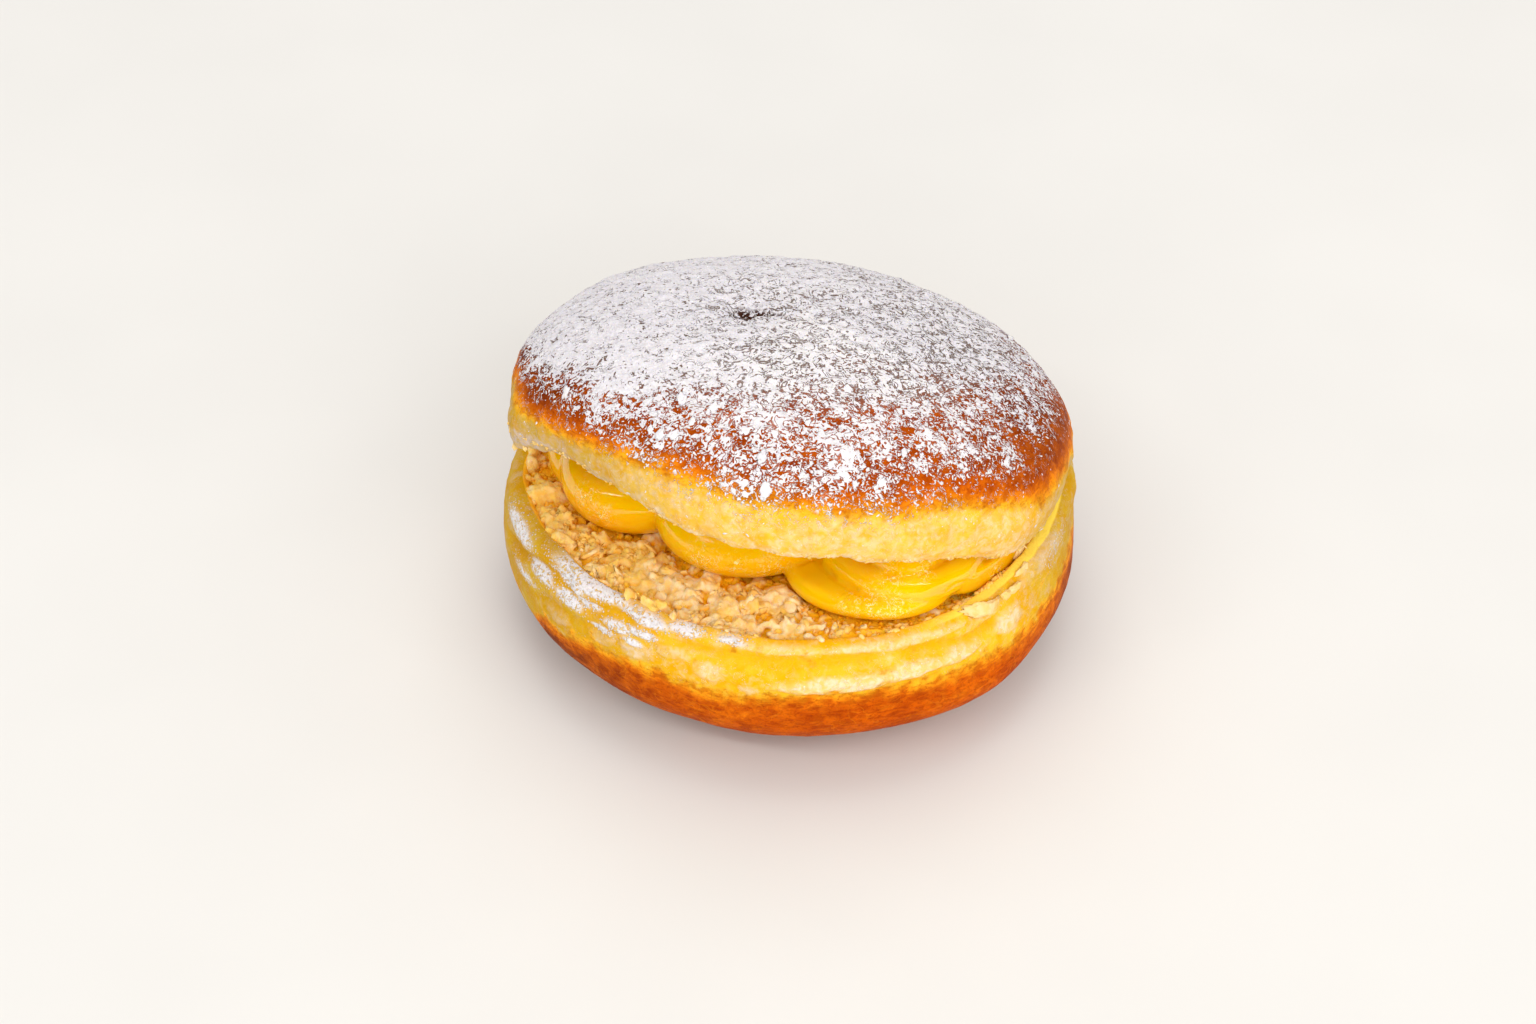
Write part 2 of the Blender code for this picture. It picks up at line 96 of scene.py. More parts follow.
# Folds in the pale wall: start and end angle, drop below the rim at each, depth, width
FOLDS = (
    (188, 222, 6.8, 0.6, 1.3, 1.15), (212, 238, 4, 1.7, 1.1, 1.05), (243, 293, 2.6, 2.7, 0.9, 1.05),
    (290, 318, 2.9, 5.2, 0.9, 1.05), (206, 232, 8.4, 5.4, 0.6, 1.2), (252, 312, 6.3, 5.6, -0.7, 1.5),
)

# Domed top half, in its own frame, before it is tipped open
TOP_RADIUS = 49.0
TOP_DEPTH_FACTOR = 0.95
TOP_WIDEST = 6.0
TOP_ABOVE = 18.3
TOP_BELOW = 18.0
TOP_ROUND_ABOVE = 2.1
TOP_ROUND_BELOW = 2.2
TOP_PITCH = 14.5
TOP_ROLL = 8.0
TOP_CENTRE = (-0.8, 0.5, 34.8)
TOP_RECESS = 1.6
TOP_LIP = 3.0

# Angle, half width and size of each dent in the top half, less than 0 for a bulge, of each tuck
# low on it, and of each lift of its edge
TOP_DENTS = (
    (226, 30, 0.085), (130, 45, 0.05), (163, 20, 0.03), (50, 30, -0.012), (326, 15, -0.022),
)
TOP_TUCKS = ((8, 26, 0.035),)
TOP_LIFTS = ((220, 34, 2.8), (281, 20, 1.5), (326, 14, -2.6))
FLAP_ANGLE = 198.0
FLAP_WIDTH = 8.0
FLAP_DROP = 2.6
FLAP_OUT = 3.2
TEAR_DEPTH = 1.1
EDGE_REACH = 45.0
BAND_LUMPS = 0.6

# Pucker in the crust of the dome
DIMPLE_X = -10.0
DIMPLE_Y = -0.8
DIMPLE_DEPTH = 2.0
DIMPLE_RADIUS = 2.4
HOLLOW_DEPTH = 0.8
HOLLOW_RADIUS = 7.5
PUCKER_FOLDS = 5
CREASE_LENGTH = 7.5
CREASE_WIDTH = 0.8
CREASE_DEPTH = 0.7
RIDGE_REACH = 3.6
RIDGE_HEIGHT = 0.35

# Thickness of the sugar where it covers all, and of its thick heaps
SUGAR_DEPTH = 0.32
HEAP_HEIGHT = 0.9

# Custard: centre x and y, radius, underside and top over the crumb bed, edge rounding
CUSTARD_GAP = 0.05
CUSTARD_MARGIN = 0.6
LOBES = (
    (1, 7, 29.5, 0, 10, 3.4), (-30.5, 4.7, 11.7, 0.75, 8.2, 3), (-24.5, -1.4, 15.1, 0.25, 11.2, 4.6),
    (-6.3, -11.9, 16.5, 0.5, 10.6, 5), (14.3, -23.6, 14.9, 0.65, 4.8, 2.3),
    (25, -15.2, 16.9, 0.9, 5.6, 2.4), (19, -21.6, 14.6, 2.2, 8.4, 3.2), (19.2, -26, 7.6, 5, 11.6, 3),
)
LOBE_AROUND = 120
LOBE_WAVE = 0.35
CUSTARD_VOXEL = 0.42
CUSTARD_SMOOTHING = 2
CREASE_SINK = 0.45

# Where the custard is rippled, glinting from its relief and carrying painted highlight lines: x, y, z,
# radius
RIPPLES = (
    (13.1, -37.3, 31.8, 3.4), (9.6, -36.4, 31.8, 2), (17.4, -37.4, 31.7, 2.4), (16.9, -34.3, 35.4, 1.8),
    (22.1, -33.3, 35.7, 1.4), (-34.4, -12.8, 32.7, 2.6), (-31.9, -14.9, 31.4, 2.2),
    (-14.4, -26.3, 31.6, 2.8), (-3.2, -27.5, 30.6, 2.6), (-9, -27.8, 32.2, 1.8), (34.3, -27, 29.2, 1.6),
)

# Where the brown crust gives way to the pale band: angle and height, for each half
TOP_CRUST_EDGE = (
    (20, 9.4), (100, 9.6), (180, 8), (200, 7.8), (220, 9.1), (237, 11.1), (252, 11.8), (264, 11.6),
    (274, 11.8), (286, 12.1), (299, 11.8), (313, 10.5), (326, 8.2), (340, 9),
)
BOTTOM_CRUST_EDGE = (
    (20, 19.5), (100, 17), (180, 13), (206, 12.5), (212, 16.3), (227, 18), (241, 19.2), (260, 20.1),
    (278, 20.7), (302, 19.2), (323, 17.6), (340, 19.8),
)

# Height on the dome up to which the crust is bare, half covered and wholly covered: angle and height
BARE_LEVEL = (
    (6, 12.5), (90, 9.5), (181, 9.6), (193, 9.4), (217, 10.6), (233, 10.4), (248, 9.6), (262, 9),
    (274, 10.6), (288, 10), (303, 12.2), (320, 11.6), (333, 13.4), (345, 13.4),
)
HALF_LEVEL = (
    (6, 14.6), (90, 11.5), (181, 10.7), (193, 10.9), (205, 12.8), (217, 13.3), (233, 14.1), (248, 14.5),
    (262, 15.3), (274, 14.8), (288, 16.8), (303, 16.2), (320, 16.2), (333, 16.4), (345, 15.8),
    (352, 15.4),
)
FULL_LEVEL = (
    (6, 18), (90, 15), (181, 11.8), (193, 12.8), (206, 15.6), (217, 16.2), (233, 18.6), (248, 20.6),
    (262, 20.6), (274, 21.4), (288, 21.8), (303, 21.2), (320, 20.8), (333, 20.4), (345, 19.4),
    (355, 18.6),
)

# Thick soft heaps of sugar and gaps between them: x, y, radius, how much more sugar
SUGAR_PATCHES = (
    (6.4, -39.2, 3.2, 0.55), (21.1, -29.9, 3, 0.35), (11.5, -32, 4, 0.25), (-4, -34.2, 4.5, 0.2),
    (13.5, -40.1, 1.8, 0.45), (28.5, -28.7, 2.6, 0.35), (-1, -42.5, 3.4, 0.3), (-15.9, -35.9, 4, 0.2),
    (34.9, -24.9, 1.8, 0.35), (-7.9, -42.6, 2.2, 0.3), (-12, -41.2, 2.4, 0.25), (-24.4, -35.8, 1.6, 0.3),
    (-1.6, -28.6, 1.3, -0.55), (9.8, -27.5, 1.9, -0.35), (21.6, -26.7, 1.8, -0.5),
    (19.9, -20.1, 1.3, -0.4), (16.6, -30.4, 1.3, -0.35), (35.1, -19.5, 3.4, -0.25),
    (1.3, -38.7, 2.4, -0.25), (-15.4, -38.8, 2.2, -0.3), (13.6, -38.7, 2, -0.3),
    (26.1, -17.9, 1.5, -0.3), (-44.4, -12.8, 2.4, -0.35),
)

# Paler swellings of the wall: angle, half width, drop below the rim, half height, strength
CREAM_PATCHES = (
    (279, 11, 6.2, 1.5, 1), (293, 7, 5.7, 1.5, 0.95), (304, 5.5, 5.9, 1.2, 0.85),
    (318.5, 4, 5.8, 2.2, 0.8), (268, 8, 0.9, 0.7, 0.6), (288, 11, 1, 0.8, 0.7),
    (254, 3.6, 5.6, 1.5, 0.7), (238, 4, 6.1, 1.5, 0.8), (229, 3.5, 7, 1.1, 0.6), (246, 4, 4.4, 1, 0.5),
    (262, 2, 7.4, 1, 0.6), (332, 8, 1.6, 1.8, 0.6), (216, 4, 8.4, 1.2, 0.5), (300, 9, 1.4, 0.6, 0.5),
    (312, 5, 2.6, 0.9, 0.4),
)

# How much painted shade darkens the sides of the pale dough and of the sugar, and how dark each crust is,
# round the body: angle and share
SHADED_SIDES = (
    (20, 0.8), (90, 0.7), (180, 1), (202, 1), (216, 0.9), (232, 0.6), (246, 0.25), (260, 0), (316, 0),
    (330, 0.65), (345, 1),
)
TOP_DARKENING = (
    (20, 0.8), (90, 0.6), (180, 1), (205, 0.85), (225, 0.5), (250, 0.4), (290, 0.3), (312, 0.35),
    (326, 0.65), (340, 0.85),
)
BOTTOM_DARKENING = (
    (20, 0.9), (90, 0.6), (180, 1), (205, 1), (225, 0.85), (245, 0.35), (270, 0.2), (310, 0.08),
    (326, 0.35), (340, 0.75),
)

# Sugar caught on the folds and the lip of the bottom half: angle, half width, drop below the rim,
# half height, strength
WALL_SUGAR = (
    (195, 8, 1.8, 1.4, 0.9), (208, 5.5, 4.2, 1, 1), (218.6, 4.5, 4.3, 0.9, 1), (217, 5.5, 1.7, 1, 1),
    (223.5, 4, 2.9, 0.8, 0.9), (222, 13, 0.4, 1, 0.9), (232.6, 3.6, 3.7, 0.8, 1),
    (238.8, 3.6, 3, 0.7, 1), (238, 7, 0.9, 0.9, 0.9), (229, 3.5, 5.4, 0.6, 0.9), (237, 3, 4.8, 0.5, 0.8),
    (248, 5, 0.5, 0.7, 0.8), (258, 4, 0.5, 0.6, 0.7), (203, 7, 7.2, 1.2, 0.6), (338, 8, 3.6, 2.6, 0.35),
)

# Scattered lumps: bend as a share of their thickness, and how finely the torn crumb is skinned
CURL = 0.7
CRUMB_VOXEL = 0.36

# Kinds of torn crumb: count, fineness, stretch, least and most size, shrinking to the right, tilt, seed
CRUMB_KINDS = {
    "big": (72, 3, (1.0, 0.80, 0.60), (1.6, 2.7), 0.70, 0.4, 121),
    "small": (1100, 2, (1.0, 0.76, 0.62), (0.7, 1.5), 0.45, 0.9, 131),
    "crumb_flakes": (1000, 2, (1.0, 0.76, 0.28), (0.6, 1.7), 0.50, 1.8, 171),
    "fine_crumbs": (1000, 2, (1.0, 0.80, 0.70), (0.30, 0.75), 0.0, 1.0, 141),
}

# Torn pieces of the bottom half: middle, lengths along three axes, turn, lean and roll in degrees
LIP_SHREDS = (
    ((32.3, -34.6, 28.6), (3.6, 0.36, 1.3), 33, 10, -18), ((35.9, -32, 29.2), (0.9, 0.5, 0.9), 40, 0, 0),
    ((39.4, -24.8, 27.7), (2.4, 0.5, 1.5), 62, 16, -8),
    ((38.9, -21, 28.9), (1.8, 0.5, 1.2), 70, -10, -8), ((37.8, -28.4, 27.4), (1.6, 0.4, 0.9), 50, 10, 0),
)

# Torn tips that hang from the flap of the top half: angle, lengths along three axes, turn, lean and roll
FLAP_SHREDS = (
    (193.5, (0.5, 0.35, 0.45), 285, 10, 10), (197, (0.6, 0.4, 0.6), 290, -8, -8),
    (201, (0.5, 0.35, 0.45), 295, 6, 8),
)

# Fried crust from its yellow edge, at 0, to its brown, at 1, in screen values
CRUST_TONES = (
    (0.00, (244, 198, 76)), (0.22, (246, 186, 42)), (0.42, (244, 160, 26)), (0.60, (236, 136, 16)),
    (0.80, (226, 116, 10)), (1.00, (218, 106, 6)),
)

# Tones used more than once, in screen values
BROWN_TINT = (212, 186, 150)
SUGAR_WHITE = (234, 230, 231)
SUGAR_GREY = (213, 208, 210)

# Camera: lens and sensor in millimetres, elevation in degrees, aim and distance in metres
CAMERA_LENS = 70.0
CAMERA_SENSOR = 36.0
CAMERA_ELEVATION = 43.0
CAMERA_AIM = (-0.0035, 0.0, 0.018)
CAMERA_DISTANCE = 0.524

# Lights: name, place and size in metres, power, colour, and whether glossy surfaces mirror it
LIGHTS = (
    ("strip_light", (-0.20, -0.80, 1.22), (2.2, 0.10), 5.2, (1.0, 0.99, 0.975), True),
    ("key_light", (-0.60, -0.80, 0.75), (0.8, 0.8), 1.1, (1.0, 0.99, 0.975), False),
    ("fill_light", (0.70, -0.80, 0.75), (0.9, 0.9), 4.8, (1.0, 0.985, 0.97), False),
    ("front_light", (0.05, -1.25, 0.42), (0.9, 0.9), 4.3, (1.0, 0.985, 0.97), False),
    ("top_light", (0.0, 0.45, 1.30), (1.0, 1.0), 5.8, (1.0, 0.99, 0.98), False),
)
LIGHT_AIM = (0.0, 0.0, 0.03)
SKY_COLOUR = (1.0, 0.99, 0.98, 1.0)
SKY_STRENGTH = 0.68


def wrap(angle):
    """Bring an angle in degrees between -180 and 180."""
    return (angle + 180.0) % 360.0 - 180.0


def hump(away, width):
    """Smooth hump of height 1 that falls off with the distance."""
    return np.exp(-(away / width) ** 2)


def bump(angle, centre, width):
    """Smooth hump of height 1 about one direction."""
    return hump(wrap(angle - centre), width)


def unit(value):
    """A number kept between 0 and 1."""
    return np.clip(value, 0.0, 1.0)


def smooth_step(value):
    """Ease from 0 to 1 as the value goes from 0 to 1."""
    part = unit(value)
    return part * part * (3.0 - 2.0 * part)


def ease(value, start, end):
    """Ease from 0 to 1 as the value goes from the start to the end."""
    return smooth_step((value - start) / (end - start))


def level_round(angle, stops):
    """Number read between a few stops round the body."""
    at, level = zip(*stops)
    return np.interp(angle % 360.0, at, level, period=360.0)


def place_round(radius, angle, depth_factor=1.0):
    """Where a radius ends in a direction, seen from above."""
    turn = np.radians(angle)
    return radius * np.cos(turn), radius * depth_factor * np.sin(turn)


def scatter_number(ix, iy, iz, seed):
    """Repeatable number from 0 to 1 for each whole-number cell."""
    mixed = np.sin(ix * 127.1 + iy * 311.7 + iz * 74.7 + seed * 53.3) * 43758.5453
    return mixed - np.floor(mixed)


def soft_noise(x, y, z, size, seed):
    """Smooth unevenness between -1 and 1, with lumps of about the given size."""
    px, py, pz = x / size, y / size, z / size
    ix, iy, iz = np.floor(px), np.floor(py), np.floor(pz)
    fx, fy, fz = smooth_step(px - ix), smooth_step(py - iy), smooth_step(pz - iz)
    total = 0.0
    for dx, dy, dz in product((0, 1), repeat=3):
        share = (fx if dx else 1.0 - fx) * (fy if dy else 1.0 - fy) * (fz if dz else 1.0 - fz)
        total = total + share * scatter_number(ix + dx, iy + dy, iz + dz, seed)
    return total * 2.0 - 1.0


def rough_noise(x, y, z, size, seed, layers=3):
    """Several layers of unevenness, each finer and turned against the one before."""
    total, share, whole = 0.0, 1.0, 0.0
    for layer in range(layers):
        total = total + share * soft_noise(x, y, z, size, seed + layer)
        whole += share
        share *= 0.55
        size *= 0.5
        x, y, z = 0.8 * x - 0.6 * y, 0.6 * x + 0.8 * y, z + 0.37 * x
    return total / whole


def torn_chunks(x, y, size, seed):
    """Flat-topped lumps of torn crumb, one to a cell, from 0 in the cracks to 1."""
    ix, iy = np.floor(x / size), np.floor(y / size)
    nearest = np.full(np.shape(x), 9.0)
    height = np.zeros(np.shape(x))
    for dx, dy in product((-1, 0, 1), repeat=2):
        cell_x, cell_y = ix + dx, iy + dy
        spot_x = (cell_x + 0.1 + 0.8 * scatter_number(cell_x, cell_y, 1.0, seed)) * size
        spot_y = (cell_y + 0.1 + 0.8 * scatter_number(cell_x, cell_y, 2.0, seed)) * size
        distance = np.hypot(x - spot_x, y - spot_y) / size
        tall = 0.25 + 0.75 * scatter_number(cell_x, cell_y, 3.0, seed)
        height = np.where(distance < nearest, tall, height)
        nearest = np.minimum(nearest, distance)
    return height * unit(1.0 - (nearest / 0.66) ** 2)


def oval_radius(height, radius, widest, above, below, round_above, round_below):
    """Radius of a flattened round body at a height."""
    upper = height >= widest
    part = np.where(upper, (height - widest) / above, (widest - height) / below)
    power = np.where(upper, round_above, round_below)
    return radius * (1.0 - unit(part) ** power) ** (1.0 / power)


def dented(radius, angle, dents, share=1.0):
    """Radius with a share of its dents pressed in, and its bulges pressed out."""
    for centre, width, amount in dents:
        radius = radius * (1.0 - amount * bump(angle, centre, width) * share)
    return radius


def ring_angles():
    """Directions round the body, closer together at the open front."""
    even = np.arange(AROUND) / AROUND * 2.0 * np.pi
    crowd = np.sin(even - np.radians(FRONT_CROWDING_ANGLE))
    return np.degrees(even + FRONT_CROWDING * crowd)


def cut_plane(x, y):
    """Height of the sloping cut over the floor."""
    slope_y = FRONT_RISE / (BODY_RADIUS * DEPTH_FACTOR)
    slope_x = LEFT_RISE / BODY_RADIUS
    return CUT_HEIGHT - slope_y * y - slope_x * x


def open_side(y):
    """Share of 1 at the open front that fades to 0 at the closed back."""
    return ease(y, 14, -4)


def crumb_bed(x, y):
    """Height of the bed of torn crumb, shallower towards the right of the open side."""
    right = ease(x, -8, 14) * open_side(y)
    return cut_plane(x, y) - CRUMB_RECESS + (CRUMB_RECESS - CRUMB_RECESS_RIGHT) * right


def left_end(x):
    """Share of 1 at the left end of the open face that fades to 0 before its middle."""
    return ease(x, -16, -28)


def right_end(x):
    """Share of 1 at the right end of the open face that fades to 0 at its middle."""
    return ease(x, 2, 20)


def side_wall(angle):
    """How much the torn side wall stands up, from 0 to 1."""
    return bump(angle, SIDE_WALL_ANGLE, SIDE_WALL_WIDTH)


def rim_height(angle):
    """Height of the lip of the bottom half."""
    turn = np.radians(angle)
    level = CUT_HEIGHT - FRONT_RISE * np.sin(turn) - LEFT_RISE * np.cos(turn)
    ragged = 0.35 * soft_noise(*place_round(RIM_REACH, angle), 0.0, 5.0, 11)
    return level + SIDE_WALL_RISE * side_wall(angle) + ragged


def lip_width(angle):
    """Width of the pale lip between the outer wall and the torn crumb."""
    left = 1.6 * bump(angle, 205.0, 35.0)
    front = 0.5 * bump(angle, 262.0, 30.0)
    return LIP_WIDTH + left + front + SIDE_WALL_LINING * side_wall(angle)


def body_radius(angle, height):
    """Radius of the outer wall, with its dents and the flare of the side wall."""
    plain = oval_radius(
        height, BODY_RADIUS, WIDEST_HEIGHT, ABOVE_WIDEST, BELOW_WIDEST, ROUND_ABOVE, ROUND_BELOW
    )
    low = ease(height, 24, 10) * ease(height, 0, 4)
    plain = dented(dented(plain, angle, WALL_DENTS), angle, LOW_BULGES, low)
    return plain + SIDE_WALL_FLARE * side_wall(angle) * ease(height, 22, 31)


def open_face(x, y):
    """Direction and reach of a place seen from above, and the radius of the torn face there."""
    angle = np.degrees(np.arctan2(y / DEPTH_FACTOR, x))
    reach = np.hypot(x, y / DEPTH_FACTOR)
    return angle, reach, body_radius(angle, rim_height(angle)) - lip_width(angle)


def fold_depth(angle, drop):
    """Depth of the folds at a direction and a distance below the rim."""
    depth = 0.0
    for start, end, drop_start, drop_end, size, width in FOLDS:
        along = (angle - start) / (end - start)
        fade = ease(along, 0, 0.18) * ease(along, 1, 0.82)
        centre = drop_start + (drop_end - drop_start) * along
        centre = centre + 0.35 * soft_noise(angle, 0.0, 0.0, 6.0, 21)
        depth = depth + size * fade * hump(drop - centre, width)
    return depth


def custard_distance(x, y):
    """Distance outside the outline of the lower custard, less than 0 inside it."""
    low = [lobe for lobe in LOBES if lobe[3] < 1.0]
    return np.minimum.reduce([np.hypot(x - lobe[0], y - lobe[1]) - lobe[2] for lobe in low])


def crumb_relief(x, y):
    """Height of the torn crumb over its bed, fading out beneath the custard."""
    fade = ease(custard_distance(x, y), -1, 1.5)
    coarse = torn_chunks(x, y, CHUNK_SIZE, 31)
    fine = torn_chunks(x + 9.0, y - 4.0, CHUNK_SIZE * 0.45, 37)
    grains = torn_chunks(x - 3.0, y + 7.0, CHUNK_SIZE * 0.22, 39)
    height = CHUNK_HEIGHT * (1.0 - 0.6 * ease(x, 12, 28))
    return height * fade * open_side(y) * (0.5 * coarse + 0.33 * fine + 0.22 * grains)


def crumb_face(x, y):
    """Height of the torn face of the bottom half."""
    return crumb_bed(x, y) + crumb_relief(x, y)


def curve_between(outer, corner, inner, count):
    """Rings that round a corner from one ring to another, as radius and height."""
    rings = []
    for part in np.arange(1, count + 1) / count:
        first, middle, last = (1.0 - part) ** 2, 2.0 * part * (1.0 - part), part ** 2
        ends = zip(outer, corner, inner)
        rings.append([first * start + middle * between + last * end for start, between, end in ends])
    return rings


def bottom_rings(angle):
    """Radius and height of each ring of the bottom half, and where those of its face start."""
    top = rim_height(angle)
    rings = [(np.full_like(angle, REST_RADIUS * part), 0.0 * top) for part in REST_PARTS]
    low_end = top - PALE_BAND
    for part in np.arange(1, CRUST_RINGS + 1) / CRUST_RINGS:
        height = low_end * part ** 1.9
        rings.append((body_radius(angle, height), height))
    for part in np.arange(1, BAND_RINGS + 1) / BAND_RINGS:
        height = low_end + (PALE_BAND - LIP_ROUND) * part
        rings.append((body_radius(angle, height) - fold_depth(angle, top - height), height))
    width = lip_width(angle)
    corner = body_radius(angle, top)
    rings += curve_between(rings[-1], (corner, top), (corner - 0.62 * width, top), LIP_RINGS)
    face_radius = corner - width
    bed = crumb_bed(*place_round(face_radius, angle, DEPTH_FACTOR))
    lip = (corner - 0.82 * width, top - 0.1)
    rings += curve_between(rings[-1], lip, (face_radius, bed + 0.15), INNER_RINGS)
    face_start = len(rings)
    shown = 1.0 - 0.46 * np.arange(1, FACE_RINGS + 1) / FACE_RINGS
    for part in (*shown, *HIDDEN_PARTS):
        radius = face_radius * part
        rings.append((radius, crumb_face(*place_round(radius, angle, DEPTH_FACTOR))))
    return rings, face_start


def ring_points(rings, angle, depth_factor):
    """Points from rings of radius and height."""
    radius, height = np.moveaxis(np.array(rings), 1, 0)
    return np.stack((*place_round(radius, angle, depth_factor), height), 2)


def push_out(points, amount):
    """Move points away from the upright axis."""
    reach = np.hypot(points[..., 0], points[..., 1]) + 1e-6
    points[..., :2] *= (1.0 + amount / reach)[..., None]
    return points


def wall_sugar(angle, drop):
    """Sugar caught on the wall of the bottom half, from 0 to 1."""
    thick = 0.0
    for centre, width, level, tall, strength in WALL_SUGAR:
        thick = np.maximum(thick, strength * bump(angle, centre, width) * hump(drop - level, tall))
    return thick


def wall_cream(angle, drop, x, y, z):
    """How pale and swollen the wall of the bottom half is, from 0 to 1."""
    pale = 0.0
    ragged = rough_noise(x, y, z, 2.6, 65, 2)
    for centre, width, level, tall, strength in CREAM_PATCHES:
        out = (wrap(angle - centre) / width) ** 2 + ((drop - level) / tall) ** 2
        pale = np.maximum(pale, strength * smooth_step(1.35 - 0.85 * out - 0.5 * ragged))
    return pale


def wall_relief(points, angle, drop):
    """How far the wall of the bottom half swells out, in lumps, stretch marks and pores."""
    x, y, z = np.moveaxis(points, -1, 0)
    pale = ease(drop, PALE_BAND, PALE_BAND - 3.0)
    lumps = 0.35 * soft_noise(x, y, z, 13.0, 61)
    swell = 0.28 * pale * rough_noise(x, y, z * 1.5, 4.2, 63)
    marks = 0.20 * pale * rough_noise(x * 0.6, y * 0.6, z * 2.2, 1.9, 67)
    leather = 0.12 * (1.0 - pale) * rough_noise(x * 0.6, y * 0.6, z * 1.6, 1.8, 71)
    cream = 0.55 * wall_cream(angle, drop, x, y, z) * (0.8 + 0.5 * rough_noise(x, y, z, 1.2, 75, 2))
    sugar = 0.22 * wall_sugar(angle, drop) * (1.0 + rough_noise(x, y, z, 1.1, 73, 2))
    return (lumps + swell + cream + marks + leather + sugar) * ease(z, 0, 5)


def link_object(name, data):
    """An object that shows a mesh, a light or the camera."""
    item = bpy.data.objects.new(name, data)
    bpy.context.scene.collection.objects.link(item)
    return item


def plain_object(name, corners, faces):
    """A smooth object from corners in millimetres."""
    data = bpy.data.meshes.new(name)
    data.from_pydata((corners * MILLIMETRE).tolist(), [], faces)
    data.shade_smooth()
    return link_object(name, data)


def closed_object(name, corners, faces):
    """A smooth closed object whose faces point out."""
    item = plain_object(name, corners, faces)
    mesh = bmesh.new()
    mesh.from_mesh(item.data)
    bmesh.ops.recalc_face_normals(mesh, faces=mesh.faces)
    if mesh.calc_volume(signed=True) < 0.0:
        bmesh.ops.reverse_faces(mesh, faces=mesh.faces)
    mesh.to_mesh(item.data)
    mesh.free()
    return item


def ringed_object(name, points, first, last):
    """One closed object from rings of points and a point at each end."""
    count, around = points.shape[:2]
    row = np.arange(count - 1)[:, None] * around
    column = np.arange(around)
    after = (column + 1) % around
    quads = np.stack((row + column, row + after, row + around + after, row + around + column), 2)
    end = (count - 1) * around
    start_fan = np.stack((np.full(around, count * around), after, column), 1)
    end_fan = np.stack((np.full(around, count * around + 1), end + column, end + after), 1)
    faces = quads.reshape(-1, 4).tolist() + start_fan.tolist() + end_fan.tolist()
    return closed_object(name, np.vstack((points.reshape(-1, 3), first, last)), faces)


def joined(name, parts):
    """One object made of several, which it takes the place of."""
    mesh = bmesh.new()
    for part in parts:
        mesh.from_mesh(part.data)
        bpy.data.objects.remove(part, do_unlink=True)
    data = bpy.data.meshes.new(name)
    mesh.to_mesh(data)
    mesh.free()
    return link_object(name, data)


def read_corners(item, what):
    """Places in metres, or normals, of the corners of a mesh."""
    values = np.empty(len(item.data.vertices) * 3)
    item.data.vertices.foreach_get(what, values)
    return values.reshape(-1, 3)


def mesh_points(item):
    """Corners of a mesh in millimetres."""
    return read_corners(item, "co") / MILLIMETRE


def move_corners(item, points):
    """Put the corners of a mesh at new places in millimetres."""
    item.data.vertices.foreach_set("co", (points * MILLIMETRE).ravel())
    item.data.update()


def store(item, name, values):
    """Keep one number for each point of a mesh, for its material, in place of any kept before."""
    kept = item.data.attributes
    attribute = kept.get(name) or kept.new(name, "FLOAT", "POINT")
    attribute.data.foreach_set("value", np.asarray(values, np.float32).ravel())


def read_numbers(item, name):
    """The numbers stored for each point of a mesh."""
    values = np.empty(len(item.data.vertices), np.float32)
    item.data.attributes[name].data.foreach_get("value", values)
    return values.astype(float)


def store_rings(item, shape, **kept):
    """Keep numbers of a ringed mesh, whose two end points take those of the nearest ring."""
    for name, values in kept.items():
        values = np.broadcast_to(unit(values), shape)
        store(item, name, np.concatenate((values.ravel(), (values[0, 0], values[-1, 0]))))


def make_bottom_half():
    """Bottom half with its folds, lip, stretched pale wall and torn crumb face."""
    angle = ring_angles()
    rings, face_start = bottom_rings(angle)
    points = ring_points(rings, angle, DEPTH_FACTOR)
    drop = rim_height(angle) - points[..., 2]
    wall = points[:face_start]
    points[:face_start] = push_out(wall, wall_relief(wall, angle, drop[:face_start]))
    middle = float(crumb_face(np.array(0.0), np.array(0.0)))
    item = ringed_object("bottom_half_dough", points, (0.0, 0.0, 0.0), (0.0, 0.0, middle))
    x, y, z = np.moveaxis(points, -1, 0)
    ring = np.arange(len(points))[:, None]
    on_face = np.where(ring < face_start - INNER_RINGS, 0.0, 1.0)
    lining = np.where(ring < face_start - LINING_RINGS, 0.0, 1.0)
    on_wall = 1.0 - on_face
    edge = level_round(angle, BOTTOM_CRUST_EDGE)
    brown = smooth_step(0.5 + (edge - z) / CRUST_FADE + 0.10 * rough_noise(x, y, z, 5.0, 81))
    store_rings(
        item, x.shape,
        crust=brown * on_wall,
        crumb=on_face,
        sugar=wall_sugar(angle, drop) * on_wall,
        fold=0.5 + 0.5 * fold_depth(angle, drop) * on_wall,
        cream=wall_cream(angle, drop, x, y, z) * on_wall,
        # Height of the torn crumb, also used for painted shade in its hollows.
        relief=crumb_relief(x, y) / CHUNK_HEIGHT,
        # Torn lining of the side wall: its own yellower tone, painted brighter to lift the shade under
        # the top half and custard.
        side=ease(x, 20, 30) * ease(y, 8, 0) * lining,
        # Painted shade on the sides of the pale dough, by angle.
        dull=level_round(angle, SHADED_SIDES),
        # Crust darker round the left and back, and towards the bottom.
        deep=level_round(angle, BOTTOM_DARKENING) + 0.45 * ease(z, 13, 2),
    )
    return item


def top_radius(angle, height):
    """Radius of the top half in its own frame."""
    plain = oval_radius(
        height, TOP_RADIUS, TOP_WIDEST, TOP_ABOVE, TOP_BELOW, TOP_ROUND_ABOVE, TOP_ROUND_BELOW
    )
    low = ease(height, 9, 0)
    plain = dented(dented(plain, angle, TOP_DENTS), angle, TOP_TUCKS, low)
    return plain + FLAP_OUT * bump(angle, FLAP_ANGLE, FLAP_WIDTH) * low


